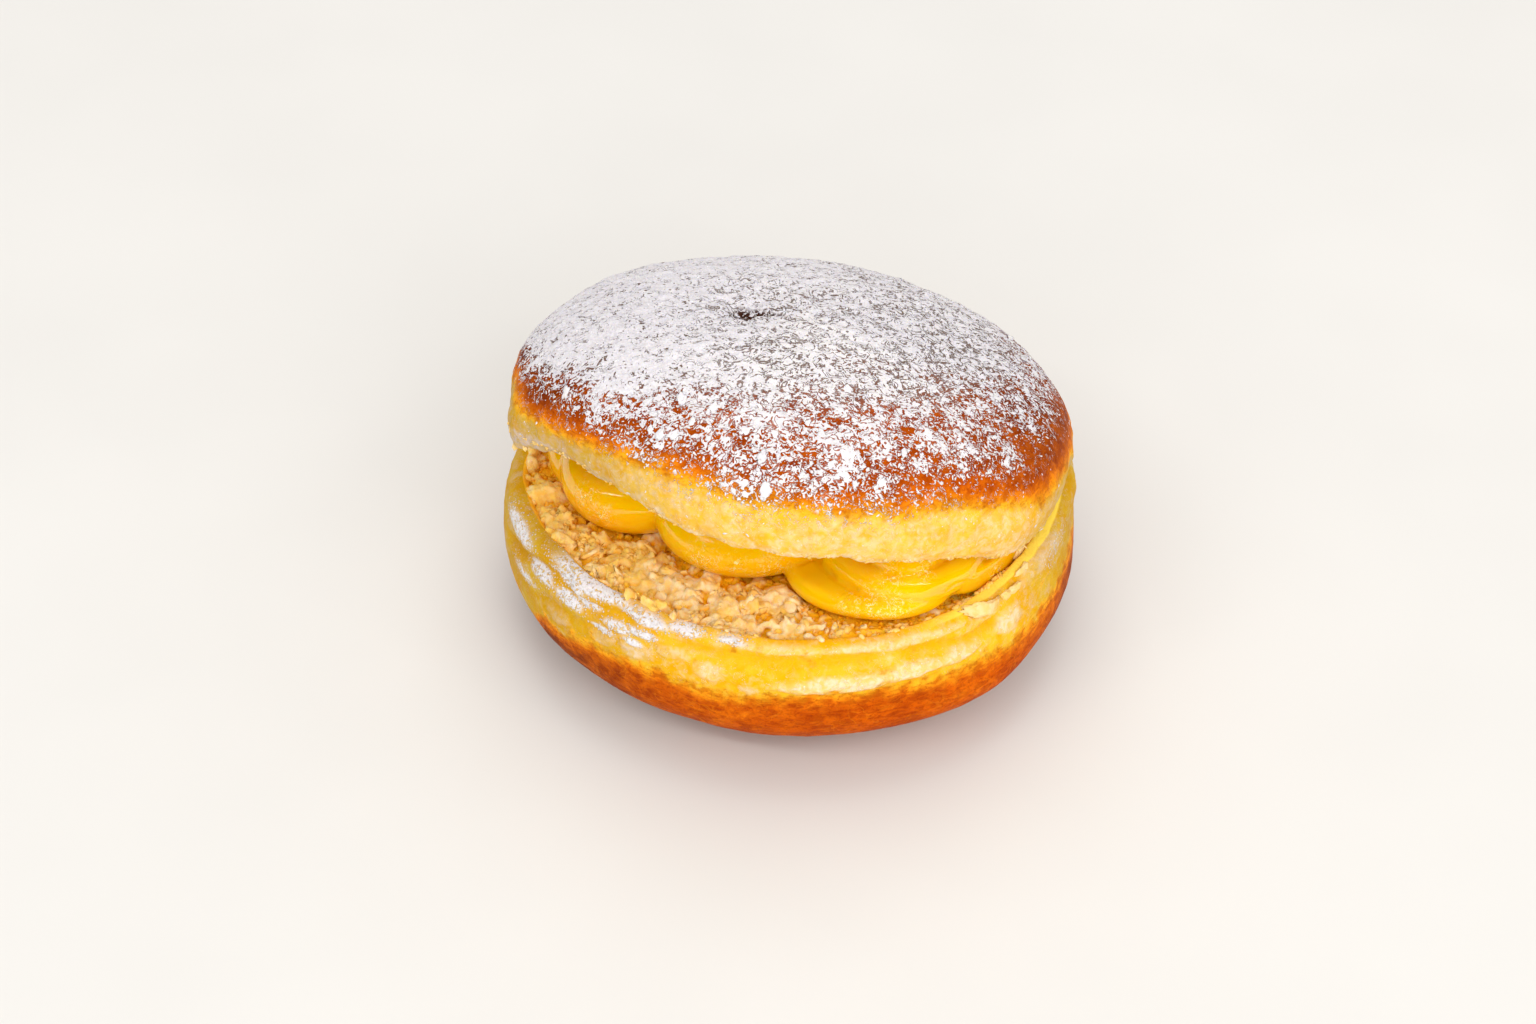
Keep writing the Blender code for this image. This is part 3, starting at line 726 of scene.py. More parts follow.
def top_lift(angle, height):
    """Height in the frame of the top half after its cut edge is lifted or dropped."""
    whole = TOP_WIDEST + TOP_ABOVE
    lifted = height
    for centre, width, amount in TOP_LIFTS:
        lifted = lifted + amount * bump(angle, centre, width) * (1.0 - height / whole)
    return lifted


def torn_edge(angle):
    """Height of the ragged lower edge of the top half, with its flap."""
    x, y = place_round(EDGE_REACH, angle)
    coarse = soft_noise(x, y, 0.0, 4.2, 41)
    fine = soft_noise(x, y, 5.0, 2.1, 43)
    finest = rough_noise(x, y, 9.0, 0.9, 44, 2)
    calm = 1.0 - 0.75 * bump(angle, 55.0, 75.0)
    tear = TEAR_DEPTH * calm * (0.7 * coarse + 0.3 * fine + 0.22 * finest)
    return top_lift(angle, 0.0) + tear - FLAP_DROP * bump(angle, FLAP_ANGLE, FLAP_WIDTH)


def crease(x, y):
    """Share of 1 along the short crease that runs right from the pucker, and 0 away from it."""
    along = (x - DIMPLE_X - 0.8) / CREASE_LENGTH
    bend = DIMPLE_Y + 0.5 - 2.2 * along ** 2
    return ease(along, 0, 0.15) * ease(along, 1, 0.5) * hump(y - bend, CREASE_WIDTH)


def dimple(x, y):
    """Depth of the pucker in the dome."""
    away_x, away_y = x - DIMPLE_X, y - DIMPLE_Y
    away = np.hypot(away_x, away_y)
    pit = DIMPLE_DEPTH * hump(away, DIMPLE_RADIUS)
    hollow = HOLLOW_DEPTH * hump(away, HOLLOW_RADIUS)
    creases = np.cos(PUCKER_FOLDS * np.arctan2(away_y, away_x) + 0.6)
    ridges = RIDGE_HEIGHT * creases * hump(away - RIDGE_REACH, 2.2)
    return pit + hollow + ridges + CREASE_DEPTH * crease(x, y)


def top_rings(angle):
    """Radius and height of each ring of the top half, and where those of its underside start."""
    levels = []
    for reach in (0.6, *np.linspace(1.3, 47.9, 88)):
        part = (reach / TOP_RADIUS) ** TOP_ROUND_ABOVE
        levels.append(TOP_WIDEST + TOP_ABOVE * (1.0 - part) ** (1.0 / TOP_ROUND_ABOVE))
    levels += list(np.linspace(levels[-1], 2.0, 26)[1:])
    rings = []
    for level in levels:
        height = np.full_like(angle, level)
        rings.append((top_radius(angle, height), top_lift(angle, height)))
    corner = top_radius(angle, 0.0 * angle)
    edge = torn_edge(angle)
    rings += curve_between(rings[-1], (corner, edge), (corner - 0.55 * TOP_LIP, edge), TOP_LIP_RINGS)
    face_start = len(rings)
    for part in UNDERSIDE_PARTS:
        radius = (corner - TOP_LIP) * part
        x, y = place_round(radius, angle, TOP_DEPTH_FACTOR)
        relief = 0.7 * torn_chunks(x, y, 5.0, 47) + 0.4 * torn_chunks(x, y, 2.2, 48)
        rings.append((radius, TOP_RECESS + top_lift(angle, 0.0) * part ** 2 - relief))
    return rings, face_start


def shape_dome(points):
    """The dome with its pucker and slight waves, and lumps in its pale band."""
    x, y, z = np.moveaxis(points, -1, 0)
    band = ease(np.hypot(x, y), 38, 41) * ease(z, 12, 7)
    lumps = BAND_LUMPS * rough_noise(x, y, z * 0.7, 3.4, 53)
    bubbles = 0.16 * rough_noise(x, y, z, 1.25, 55, 2)
    shaped = push_out(points.copy(), band * (lumps + bubbles))
    waves = 0.35 * soft_noise(x, y, z, 16.0, 51) * ease(z, 1, 7)
    rough = 0.25 * band * rough_noise(x, y, z, 1.6, 57, 2)
    shaped[..., 2] = z - ease(z, 6, 14) * dimple(x, y) + waves + rough
    return shaped


def sugar_heaps(x, y):
    """How much more sugar lies in each soft heap, less than 0 in the gaps."""
    ragged = 1.0 + 0.5 * soft_noise(x, y, 0.0, 1.8, 95)
    more = 0.0
    for centre_x, centre_y, radius, amount in SUGAR_PATCHES:
        more = more + amount * hump(np.hypot(x - centre_x, y - centre_y) * ragged, radius)
    return more


def sugar_cover(angle, height, x, y, heaped=1.0):
    """Share of the dome that sugar covers, from 0 on bare crust to 1 on the crown."""
    bare, half, full = (level_round(angle, level) for level in (BARE_LEVEL, HALF_LEVEL, FULL_LEVEL))
    level = height + 1.1 * rough_noise(x, y, 0.0, 5.0, 91, 2)
    lower = unit((level - bare) / (half - bare))
    middle = unit((level - half) / (full - half))
    upper = unit((level - full) / 2.5)
    share = 0.53 * lower ** 1.2 + 0.35 * middle + 0.12 * upper
    return unit(share + heaped * sugar_heaps(x, y) * ease(lower, 0, 0.3))


def sugar_veil(x, y):
    """How closely dark hair lines crowd in the sugar: by the pucker, in front of it and on the right."""
    pucker = hump(np.hypot(x - DIMPLE_X - 5.0, y - DIMPLE_Y), 13.0)
    right, left = ease(x + 0.35 * y, -2, 28), ease(x, -12, -28)
    front, back = ease(y, -8, -16) * ease(x, -22, -6), ease(y, 6, 18)
    return 0.45 + 0.40 * pucker + 0.60 * right + 0.40 * front - 0.32 * left - 0.30 * back


def turned(axis, degrees):
    """Rows of a frame turned about its X, Y or Z, which are axes 0, 1 and 2."""
    first, second = ((1, 2), (0, 2), (0, 1))[axis]
    rows = np.eye(3)
    rows[first, first] = rows[second, second] = np.cos(np.radians(degrees))
    rows[first, second] = np.sin(np.radians(degrees))
    rows[second, first] = -rows[first, second]
    return rows


def tip_open(points):
    """Turn the top half from its own frame to where it rests on the custard."""
    return points @ (turned(0, TOP_PITCH) @ turned(1, TOP_ROLL)).T + np.array(TOP_CENTRE)


def make_top_half():
    """Domed top half, tipped open on the custard."""
    angle = ring_angles()
    rings, face_start = top_rings(angle)
    plain = ring_points(rings, angle, TOP_DEPTH_FACTOR)
    points = shape_dome(plain)
    x, y, z = np.moveaxis(plain, -1, 0)
    under = np.where(np.arange(len(plain))[:, None] < face_start, 0.0, 1.0)
    outside = 1.0 - under
    cover = sugar_cover(angle, z, x, y) * outside
    heap = cover * SUGAR_DEPTH * (1.0 + 1.3 * rough_noise(x, y, z, 1.7, 97, 2))
    heap = heap + HEAP_HEIGHT * unit(sugar_heaps(x, y)) * outside
    points[..., 2] += heap * ease(z, 8, 12)
    crown = np.array((0.0, 0.0, points[0, :, 2].mean()))
    bottom = np.array((0.0, 0.0, TOP_RECESS))
    item = ringed_object("top_half_dough", tip_open(points), tip_open(crown), tip_open(bottom))
    edge = level_round(angle, TOP_CRUST_EDGE)
    brown = smooth_step(0.5 + (z - edge) / CRUST_FADE + 0.08 * rough_noise(x, y, z, 4.0, 83))
    away = np.hypot(x - DIMPLE_X, y - DIMPLE_Y)
    store_rings(
        item, x.shape,
        crust=brown * outside,
        sugar=cover,
        even=sugar_cover(angle, z, x, y, 0.0),
        under=under,
        pucker=(hump(away, 2.1) + 0.6 * crease(x, y)) * ease(z, 10, 15),
        veil=sugar_veil(x, y),
        edge=ease(z - top_lift(angle, 0.0), 0, 3.2),
        # Painted shade on the sides of the pale dough and sugar, by angle.
        dull=level_round(angle, SHADED_SIDES),
        # Crust darker round the left, back and right.
        deep=level_round(angle, TOP_DARKENING),
        dust=ease(z - level_round(angle, BARE_LEVEL), -3.2, 0.4) * outside,
    )
    return item


def underside_of_top(x, y):
    """Height of the cut edge of the top half, lower wherever that edge drops."""
    normal = tip_open(np.array((0.0, 0.0, 1.0))) - np.array(TOP_CENTRE)
    out_x, out_y = x - TOP_CENTRE[0], y - TOP_CENTRE[1]
    plane = TOP_CENTRE[2] - (out_x * normal[0] + out_y * normal[1]) / normal[2]
    angle = np.degrees(np.arctan2(out_y, out_x))
    reach = np.hypot(out_x, out_y) / (TOP_RADIUS - TOP_LIP)
    return plane + np.minimum(top_lift(angle, 0.0), 0.0) * reach ** 2


def lobe_ring(x, y, over, seed):
    """Points at a height over the crumb bed, kept clear of both halves."""
    angle, reach, face = open_face(x, y)
    room = face - CUSTARD_MARGIN + SIDE_WALL_LINING * side_wall(angle)
    inward = np.minimum(1.0, room / (reach + 1e-6))
    x, y = x * inward, y * inward
    ceiling = underside_of_top(x, y) + 0.35 - 0.1 * seed
    return np.stack((x, y, np.minimum(crumb_bed(x, y) + CUSTARD_GAP + over, ceiling)), -1)


def lobe_shape(lobe, seed):
    """Rings of points of one rounded coil of custard."""
    lobe_x, lobe_y, radius, low, high, edge = lobe
    turn = np.arange(LOBE_AROUND) / LOBE_AROUND * 2.0 * np.pi
    wave = LOBE_WAVE * np.sin(3.0 * turn + seed)
    profile = [(2.0, -1.0), (0.4 * radius, -1.0), (radius - 1.6 * edge, -1.0)]
    for tilt in np.radians(np.linspace(-80.0, 80.0, 17)):
        profile.append((radius - edge + edge * np.cos(tilt), np.sin(tilt)))
    profile += [(radius - 1.8 * edge, 1.0), (0.5 * radius, 1.0), (2.0, 1.0)]
    rings = []
    for reach, level in profile:
        swing = reach + wave * ease(reach, 0.5 * radius, 0.9 * radius)
        x, y = lobe_x + swing * np.cos(turn), lobe_y + swing * np.sin(turn)
        rings.append(lobe_ring(x, y, low + 0.5 * (high - low) * (level + 1.0), seed))
    return np.array(rings)


def melt_together(item, voxel, smoothing):
    """Turn the overlapping shapes of a mesh into one soft skin."""
    melt = item.modifiers.new("melt", "REMESH")
    melt.mode = "VOXEL"
    melt.voxel_size = voxel * MILLIMETRE
    soften = item.modifiers.new("soften", "SMOOTH")
    soften.factor = 0.6
    soften.iterations = smoothing
    graph = bpy.context.evaluated_depsgraph_get()
    finished = bpy.data.meshes.new_from_object(item.evaluated_get(graph))
    item.modifiers.clear()
    item.data = finished
    finished.name = item.name
    finished.shade_smooth()


def hollows(item, passes):
    """How hollow a mesh is at each point, more than 0 in creases, evened out by a few passes."""
    pairs = np.empty(len(item.data.edges) * 2, np.int32)
    item.data.edges.foreach_get("vertices", pairs)
    first, second = pairs.reshape(-1, 2).T
    count = np.bincount(pairs, minlength=len(item.data.vertices))[:, None]

    def beside(values):
        total = np.zeros(values.shape)
        np.add.at(total, first, values[second])
        np.add.at(total, second, values[first])
        return total / count

    points = mesh_points(item)
    hollow = ((beside(points) - points) * read_corners(item, "normal")).sum(1)[:, None]
    for _ in range(passes):
        hollow = 0.4 * hollow + 0.6 * beside(hollow)
    return hollow[:, 0]


def make_custard():
    """Coils of custard melted into one body."""
    coils = []
    for number, lobe in enumerate(LOBES):
        rings = lobe_shape(lobe, number)
        coils.append(ringed_object("coil_" + str(number), rings, rings[0].mean(0), rings[-1].mean(0)))
    item = joined("custard_coils", coils)
    melt_together(item, CUSTARD_VOXEL, CUSTARD_SMOOTHING)
    creased = ease(hollows(item, 4), 0.006, 0.036)
    points = mesh_points(item) - CREASE_SINK * creased[:, None] * read_corners(item, "normal")
    move_corners(item, points)
    rippled = 0.0
    for *middle, radius in RIPPLES:
        away = ((points - np.array(middle)) ** 2).sum(1)
        rippled = np.maximum(rippled, np.exp(-away / radius ** 2))
    store(item, "ripple", rippled)
    x, y, z = points.T
    # Painted shade: a deeper orange low down at the base, under the top half, on sides that turn
    # downward, in creases and at both ends, where shade falls.
    painted_shade = ease(z - crumb_bed(x, y), 4.5, 0)
    steep_shade = 0.4 * ease(read_corners(item, "normal")[:, 2], 0.50, -0.10)
    lid_shadow = 0.4 * ease(underside_of_top(x, y) - z, 1.6, 0)
    far = 0.6 * ease(x, 27, 35) + 0.45 * ease(x, -24, -34)
    deepest_shade = np.maximum.reduce((painted_shade, lid_shadow, steep_shade, 0.35 * creased))
    store(item, "painted_shade", unit(deepest_shade + far))
    return item


def lump_templates(count, level, stretch, roughness, curl, seed):
    """Torn lumps that share one layout of faces: their corners, and the faces."""
    mesh = bmesh.new()
    bmesh.ops.create_icosphere(mesh, subdivisions=level, radius=1.0)
    ball = np.array([corner.co for corner in mesh.verts])
    faces = np.array([[corner.index for corner in face.verts] for face in mesh.faces])
    mesh.free()
    lumps = []
    for number in range(count):
        shift = 7.3 * (number + 1)
        x, y, z = ball[:, 0] + shift, ball[:, 1] - shift, ball[:, 2]
        ridges = 1.0 - 2.0 * np.abs(rough_noise(x, y, z, 1.1, seed + number, 2))
        knobs = 0.7 * rough_noise(x, y, z, 0.6, seed - number, 2) + 0.3 * soft_noise(x, y, z, 0.22, seed)
        swell = 1.0 + roughness * (0.6 * ridges - 0.3 + knobs)
        lump = ball * swell[:, None] * np.array(stretch)
        lump[:, 2] += curl * stretch[2] * lump[:, 0] ** 2 * (1.0 if number % 2 else -0.6)
        lumps.append(lump)
    return np.array(lumps), faces


def surface_places(item, weight, count, seed):
    """Random places on a mesh, more of them where the weight of its points is greater."""
    triangles = item.data.loop_triangles
    item.data.calc_loop_triangles()
    corners = np.empty(len(triangles) * 3, np.int32)
    triangles.foreach_get("vertices", corners)
    corners = corners.reshape(-1, 3)
    points = mesh_points(item)[corners]
    sides = points[:, 1:] - points[:, :1]
    across = np.cross(sides[:, 0], sides[:, 1])
    area = 0.5 * np.linalg.norm(across, axis=1) + 1e-12
    chance = area * weight[corners].mean(1)
    draw = np.random.RandomState(seed)
    picked = draw.choice(len(chance), count, p=chance / chance.sum())
    first, second = draw.rand(count), draw.rand(count)
    over = first + second > 1.0
    first[over], second[over] = 1.0 - first[over], 1.0 - second[over]
    place = points[picked, 0] + first[:, None] * sides[picked, 0] + second[:, None] * sides[picked, 1]
    normal = across[picked] / (2.0 * area[picked])[:, None]
    return place, normal, draw


def turned_frames(normal, tilt, draw):
    """Frames with a random spin about each normal, leaning by up to the tilt."""
    count = len(normal)
    leaning = normal + tilt * (draw.rand(count, 3) - 0.5) * 2.0
    up = leaning / np.linalg.norm(leaning, axis=1)[:, None]
    side = np.cross(up, draw.rand(count, 3) - 0.5)
    side = side / np.linalg.norm(side, axis=1)[:, None]
    return np.stack((side, np.cross(up, side), up), 1)


def strew(name, on, weight, count, seed, template, tilt, sizes, shrink=0.0, amber=0.0):
    """One mesh of lumps strewn over a piece, where the weight of its points is greater.

    Sizes are the least, the most and how much rarer the large ones are. Lumps shrink towards the
    right and turn amber at both ends of the open face, each as far as its share says.
    """
    place, normal, draw = surface_places(on, weight, count, seed)
    lumps, faces = lump_templates(*template, seed + 2)
    frames = turned_frames(normal, tilt, draw)
    least, most, power = sizes
    across = place[:, 0]
    size = least + (most - least) * draw.rand(count) ** power
    size = size * (1.0 - shrink * ease(across, -6, 14))
    shaped = lumps[draw.randint(0, len(lumps), count)] * size[:, None, None]
    corners = np.einsum("nck,nkj->ncj", shaped, frames) + place[:, None, :]
    offset = (np.arange(count) * lumps.shape[1])[:, None, None]
    item = plain_object(name, corners.reshape(-1, 3), (faces + offset).reshape(-1, 3).tolist())
    up = corners[..., 2] - place[:, None, 2]
    # Height within each lump, kept for painted shade on its underside.
    store(item, "lift", 0.5 + 0.5 * up / np.abs(up).max(1)[:, None])
    ends = 0.7 * ease(across, 4, 20) + 0.6 * left_end(across)
    store(item, "lot", np.repeat(unit(draw.rand(count) + amber * ends), lumps.shape[1]))
    return item


def make_sugar(top):
    """Curved flecks of icing sugar where cover is partial, and small heaps where thick sugar ends."""
    cover = read_numbers(top, "sugar")
    band = read_numbers(top, "edge") * (1.0 - read_numbers(top, "under"))
    weight = cover * unit(1.15 - cover) + 0.012 * band
    shape = (10, 1, (1.0, 0.42, 0.26), 0.5, CURL)
    flecks = strew("sugar_flecks", top, weight, 6200, 101, shape, 0.25, (0.15, 0.45, 2.0))
    weight = unit(cover - 0.3) * unit(0.9 - cover)
    shape = (12, 3, (1.0, 0.62, 0.12), 0.9, CURL)
    clumps = strew("sugar_clumps", top, weight, 90, 111, shape, 0.08, (0.4, 1.2, 2.5))
    return flecks, clumps


def crumb_weight(bottom):
    """How closely crumb lies at each point of the bottom half, only on the open torn face."""
    x, y, z = mesh_points(bottom).T
    angle, reach, face = open_face(x, y)
    inside = ease(face - reach, -1.2, 0) * read_numbers(bottom, "crumb")
    behind = 22.0 + 18.0 * ease(x, 6, -8)
    shown = ease(y, behind, behind - 18.0)
    return inside * ease(custard_distance(x, y), -4.6, -3.0) * shown * (1.0 + 1.2 * ease(x, 8, 20))


def crumb_lumps(bottom, name):
    """One mesh of torn crumb lumps of one kind, smaller towards the right of the open face."""
    count, level, stretch, sizes, shrink, tilt, seed = CRUMB_KINDS[name]
    shape = (14, level, stretch, 0.9, 0.25)
    item = strew(name, bottom, crumb_weight(bottom), count, seed, shape, tilt, (*sizes, 1.7), shrink, 1.0)
    x, y, z = mesh_points(item).T
    above = unit((z - crumb_bed(x, y) - 0.3) / (2.5 - 0.9 * right_end(x)))
    # Height over the bed, kept for painted shade low down.
    store(item, "lift", above * (0.6 + 0.4 * read_numbers(item, "lift")))
    return item


def make_crumb_chunks(bottom):
    """Torn chunks grown together into one soft ragged skin over the open face."""
    item = joined("crumb_chunks", [crumb_lumps(bottom, name) for name in ("big", "small")])
    melt_together(item, CRUMB_VOXEL, 1)
    points = mesh_points(item)
    x, y, z = points.T
    push = 0.38 * rough_noise(x, y, z, 1.1, 135, 2) + 0.16 * soft_noise(x, y, z, 0.5, 137)
    points = points + push[:, None] * read_corners(item, "normal")
    move_corners(item, points)
    height = points[:, 2] - crumb_bed(x, y)
    # Height over the bed, kept for painted shade in the hollows.
    store(item, "lift", unit((height - 0.2 + 1.6 * push) / (2.6 - right_end(x))))
    amber = 0.6 * right_end(x) + 0.5 * left_end(x)
    store(item, "lot", 0.5 * (1.0 + soft_noise(x, y, z, 3.5, 139)) + amber)
    return item


def torn_pieces(shreds, seed):
    """Corners and faces of ragged pieces at given places."""
    lumps, faces = lump_templates(len(shreds), 4, (1.0, 1.0, 1.0), 0.5, 0.0, seed)
    corners, every_face = [], []
    for number, (middle, lengths, turn, lean, roll) in enumerate(shreds):
        shaped = lumps[number] * np.array(lengths)
        shaped[:, 1] += 0.10 * shaped[:, 0] ** 2
        rows = turned(0, roll) @ turned(1, -lean) @ turned(2, turn)
        corners.append(shaped @ rows + np.array(middle))
        every_face.append(faces + number * len(shaped))
    return np.concatenate(corners), np.concatenate(every_face).tolist()


def flap_places():
    """The torn tips of the flap, placed along its lower edge."""
    placed = []
    for angle, lengths, turn, lean, roll in FLAP_SHREDS:
        at = np.array((angle,))
        x, y = place_round(top_radius(at, 0.0 * at) - 0.9, at, TOP_DEPTH_FACTOR)
        middle = np.concatenate((x, y, torn_edge(at) - 0.1 * lengths[2]))
        placed.append((middle, lengths, turn, lean, roll))
    return placed


def make_shreds(top):
    """Torn pieces at the lip, hanging from the flap and along the lower edge of the top half."""
    lip = closed_object("lip_shreds", *torn_pieces(LIP_SHREDS, 151))
    corners, faces = torn_pieces(flap_places(), 157)
    flap = closed_object("flap_shreds", tip_open(corners), faces)
    for piece in (lip, flap):
        store(piece, "lift", np.ones(len(piece.data.vertices)))
        store(piece, "lot", np.zeros(len(piece.data.vertices)))
    edge = read_numbers(top, "edge")
    weight = ease(mesh_points(top)[:, 1], 0, -20) * ease(edge, 0, 0.1) * ease(edge, 0.5, 0.2)
    weight = weight * (1.0 - read_numbers(top, "under"))
    shape = (12, 2, (1.0, 0.6, 0.4), 1.1, CURL)
    rim = strew("edge_shreds", top, weight, 240, 161, shape, 0.5, (0.20, 0.58, 2.0))
    return lip, flap, rim


class Field:
    """What a shader node gives, so that sums in a material read as plain arithmetic."""

    def __init__(self, tree, socket):
        self.tree = tree
        self.socket = socket

    def work(self, operation, *numbers):
        """One sum of fields and plain numbers."""
        return add_node(self.tree, "Math", dict(enumerate(numbers)), operation=operation)

    def __add__(self, other):
        return self.work("ADD", self, other)

    def __sub__(self, other):
        return self.work("SUBTRACT", self, other)

    def __rsub__(self, other):
        return self.work("SUBTRACT", other, self)

    def __mul__(self, other):
        return self.work("MULTIPLY", self, other)

    def __truediv__(self, other):
        return self.work("DIVIDE", self, other)

    def __abs__(self):
        return self.work("ABSOLUTE", self)


def fill(tree, node, sockets):
    """Join each named socket of a node to a field, or give it a fixed value."""
    for name, value in sockets.items():
        if isinstance(value, Field):
            tree.links.new(value.socket, node.inputs[name])
        else:
            node.inputs[name].default_value = value


def add_node(tree, kind, sockets, output=0, **settings):
    """Add a shader node and give back one of its outputs."""
    made = tree.nodes.new("ShaderNode" + kind)
    for name, value in settings.items():
        setattr(made, name, value)
    fill(tree, made, sockets)
    return Field(tree, made.outputs[output])


def tone(screen):
    """Colour for a shader from its screen values between 0 and 255."""
    linear = []
    for value in screen:
        part = value / 255.0
        linear.append(part / 12.92 if part <= 0.04045 else ((part + 0.055) / 1.055) ** 2.4)
    return (*linear, 1.0)


def place_on(tree, shift, flat=1.0):
    """Place on the object, moved by a shift and squashed flat if asked."""
    where = add_node(tree, "TexCoord", {}, "Object")
    sockets = {"Vector": where, "Location": (shift, shift, shift), "Scale": (1.0, 1.0, flat)}
    return add_node(tree, "Mapping", sockets)


def grain(tree, size, detail=2.0, distortion=0.0, shift=0.0, flat=1.0):
    """Noise from 0 to 1 with features of about the given size in millimetres."""
    sockets = {"Vector": place_on(tree, shift, flat), "Scale": 1.0 / (size * MILLIMETRE)}
    sockets.update({"Detail": detail, "Roughness": 0.55, "Distortion": distortion})
    return add_node(tree, "TexNoise", sockets, "Fac")


def number(tree, name):
    """A number stored on the mesh."""
    return add_node(tree, "Attribute", {}, "Fac", attribute_name=name)


def larger(first, second):
    """The larger of two fields."""
    return first.work("MAXIMUM", first, second)


def spread(value, low, high, to_low=0.0, to_high=1.0):
    """Bring a field from one range to another, smoothly and within its ends."""
    sockets = {0: value, 1: low, 2: high, 3: to_low, 4: to_high}
    return add_node(value.tree, "MapRange", sockets, interpolation_type="SMOOTHSTEP")


def blend(share, first, second, kind="MIX"):
    """Colour between two others, each a field or three screen values."""
    first, second = (tone(side) if isinstance(side, tuple) else side for side in (first, second))
    sockets = {0: share, 6: first, 7: second}
    return add_node(share.tree, "Mix", sockets, 2, data_type="RGBA", blend_type=kind)


def darken(share, colour, tint):
    """Colour multiplied by a tint as far as the share says."""
    return blend(share, colour, tint, "MULTIPLY")


def colour_run(value, stops):
    """Colour read along a run of stops."""
    run = add_node(value.tree, "ValToRGB", {"Fac": value}, "Color")
    elements = run.socket.node.color_ramp.elements
    while len(elements) < len(stops):
        elements.new(0.5)
    for element, (place, screen) in zip(elements, stops):
        element.position = place
        element.color = tone(screen)
    return run


def raise_surface(height, distance, below=None):
    """Small relief of the given height in millimetres."""
    sockets = {"Height": height, "Distance": distance * MILLIMETRE, "Strength": 1.0}
    if below is not None:
        sockets["Normal"] = below
    return add_node(height.tree, "Bump", sockets, "Normal")


def new_material(name):
    """A material and its node tree."""
    material = bpy.data.materials.new(name)
    material.use_nodes = True
    return material, material.node_tree


def complete(material, colour, rough, normal, gloss, glow, depth, tint=(1.0, 0.6, 0.2)):
    """Join a material's colour, roughness and relief to its shader, and set its gloss and its glow.

    The glow is the light that comes back out of the soft inside, with its depth in millimetres.
    """
    fill(material.node_tree, material.node_tree.nodes["Principled BSDF"], {
        "Base Color": colour,
        "Roughness": rough,
        "Normal": normal,
        "Specular IOR Level": gloss,
        "Subsurface Weight": glow,
        "Subsurface Radius": tint,
        "Subsurface Scale": depth * MILLIMETRE,
    })
    return material


def worm_lines(tree, size, width, low, high, shift):
    """Short thin curved lines, broken up so that only some of them show."""
    away = abs(grain(tree, size, 1.5, 0.7, shift) - 0.5)
    gate = grain(tree, 1.7 * size, 1.0, 0.0, shift + 0.013)
    return spread(away, width, 0.3 * width) * spread(gate, low, high)


def specks(tree, size, radius, share, shift):
    """Scattered round dots: cell size in millimetres, radius and share as parts of 1."""
    sockets = {"Vector": place_on(tree, shift), "Scale": 1.0 / (size * MILLIMETRE)}
    distance = add_node(tree, "TexVoronoi", sockets, "Distance")
    colour = Field(tree, distance.socket.node.outputs["Color"])
    lot = add_node(tree, "SeparateColor", {"Color": colour}, "Red")
    return spread(distance, radius, 0.6 * radius) * lot.work("LESS_THAN", lot, share)


def sugar_layer(tree, cover, veil):
    """Share of sugar: islands that close up as the cover grows, cut by short dark cracks and dots."""
    field = grain(tree, 3.2, 2.0, 0.9, 0.17) * 0.38 + grain(tree, 1.15, 1.5, 1.7, 0.19) * 0.62
    limit = spread(cover, 0.84, 1.0, 0.596, 0.540) + cover * -0.165
    islands = spread(field - limit, -0.014, 0.016)
    away = abs(grain(tree, 1.7, 1.5, 1.3, 0.21) - 0.5)
    line = spread(away / (veil * 0.040 + 0.022), 1.0, 0.35)
    gate = veil * 0.15 + 0.435 - grain(tree, 1.7, 1.0, 0.0, 0.23)
    cracks = line * spread(gate, -0.01, 0.03)
    dark = larger(cracks, specks(tree, 1.1, 0.25, 0.20, 0.25)) * (veil * 0.35 + 0.62)
    return islands * (1.0 - dark)


def loose_sugar(tree, dust):
    """Short worms and dots of sugar strewn on crust that is otherwise bare."""
    worms = worm_lines(tree, 0.9, 0.034, 0.50, 0.56, 0.31)
    return larger(worms, specks(tree, 0.5, 0.26, 0.24, 0.33)) * 0.85 * dust


def pale_dough(tree, cream):
    """Stretched pale dough: yellow with cream swellings, whitish hair lines and fine specks."""
    soft = spread(grain(tree, 4.5, 2.0, 0.4, 0.03), 0.36, 0.64)
    fine = spread(grain(tree, 1.3, 3.0, 0.8, 0.07), 0.34, 0.66)
    yellow = blend(soft, (240, 175, 6), (242, 190, 40))
    pale = blend(fine, (243, 202, 118), (245, 217, 176))
    colour = blend((fine - 0.5) * 0.22 + cream, yellow, pale)
    lines = worm_lines(tree, 0.9, 0.022, 0.50, 0.58, 0.09)
    marks = larger(lines, specks(tree, 0.7, 0.20, 0.22, 0.11)) * (cream * 0.45 + 0.20)
    return blend(marks, colour, (255, 246, 226)), marks


def crust_tone(tree, browned, deepness, shift):
    """Fried crust from its yellow edge to its brown, mottled, streaked and pored."""
    deep = blend(deepness, (218, 94, 0), (130, 58, 8))
    fried = blend(spread(browned, 0.62, 1.18), colour_run(browned, CRUST_TONES), deep)
    streaks = spread(grain(tree, 2.4, 4.0, 0.8, shift, 2.6), 0.40, 0.62)
    fried = darken(streaks * 0.75, fried, BROWN_TINT)
    broad = spread(grain(tree, 6.0, 2.0, 0.5, shift + 0.04, 1.6), 0.44, 0.62)
    fried = darken(broad * 0.5, fried, BROWN_TINT)
    freckles = spread(grain(tree, 0.45, 2.0, 0.0, shift + 0.02), 0.52, 0.66, 0.0, 0.5)
    return darken(freckles, fried, (210, 180, 150))


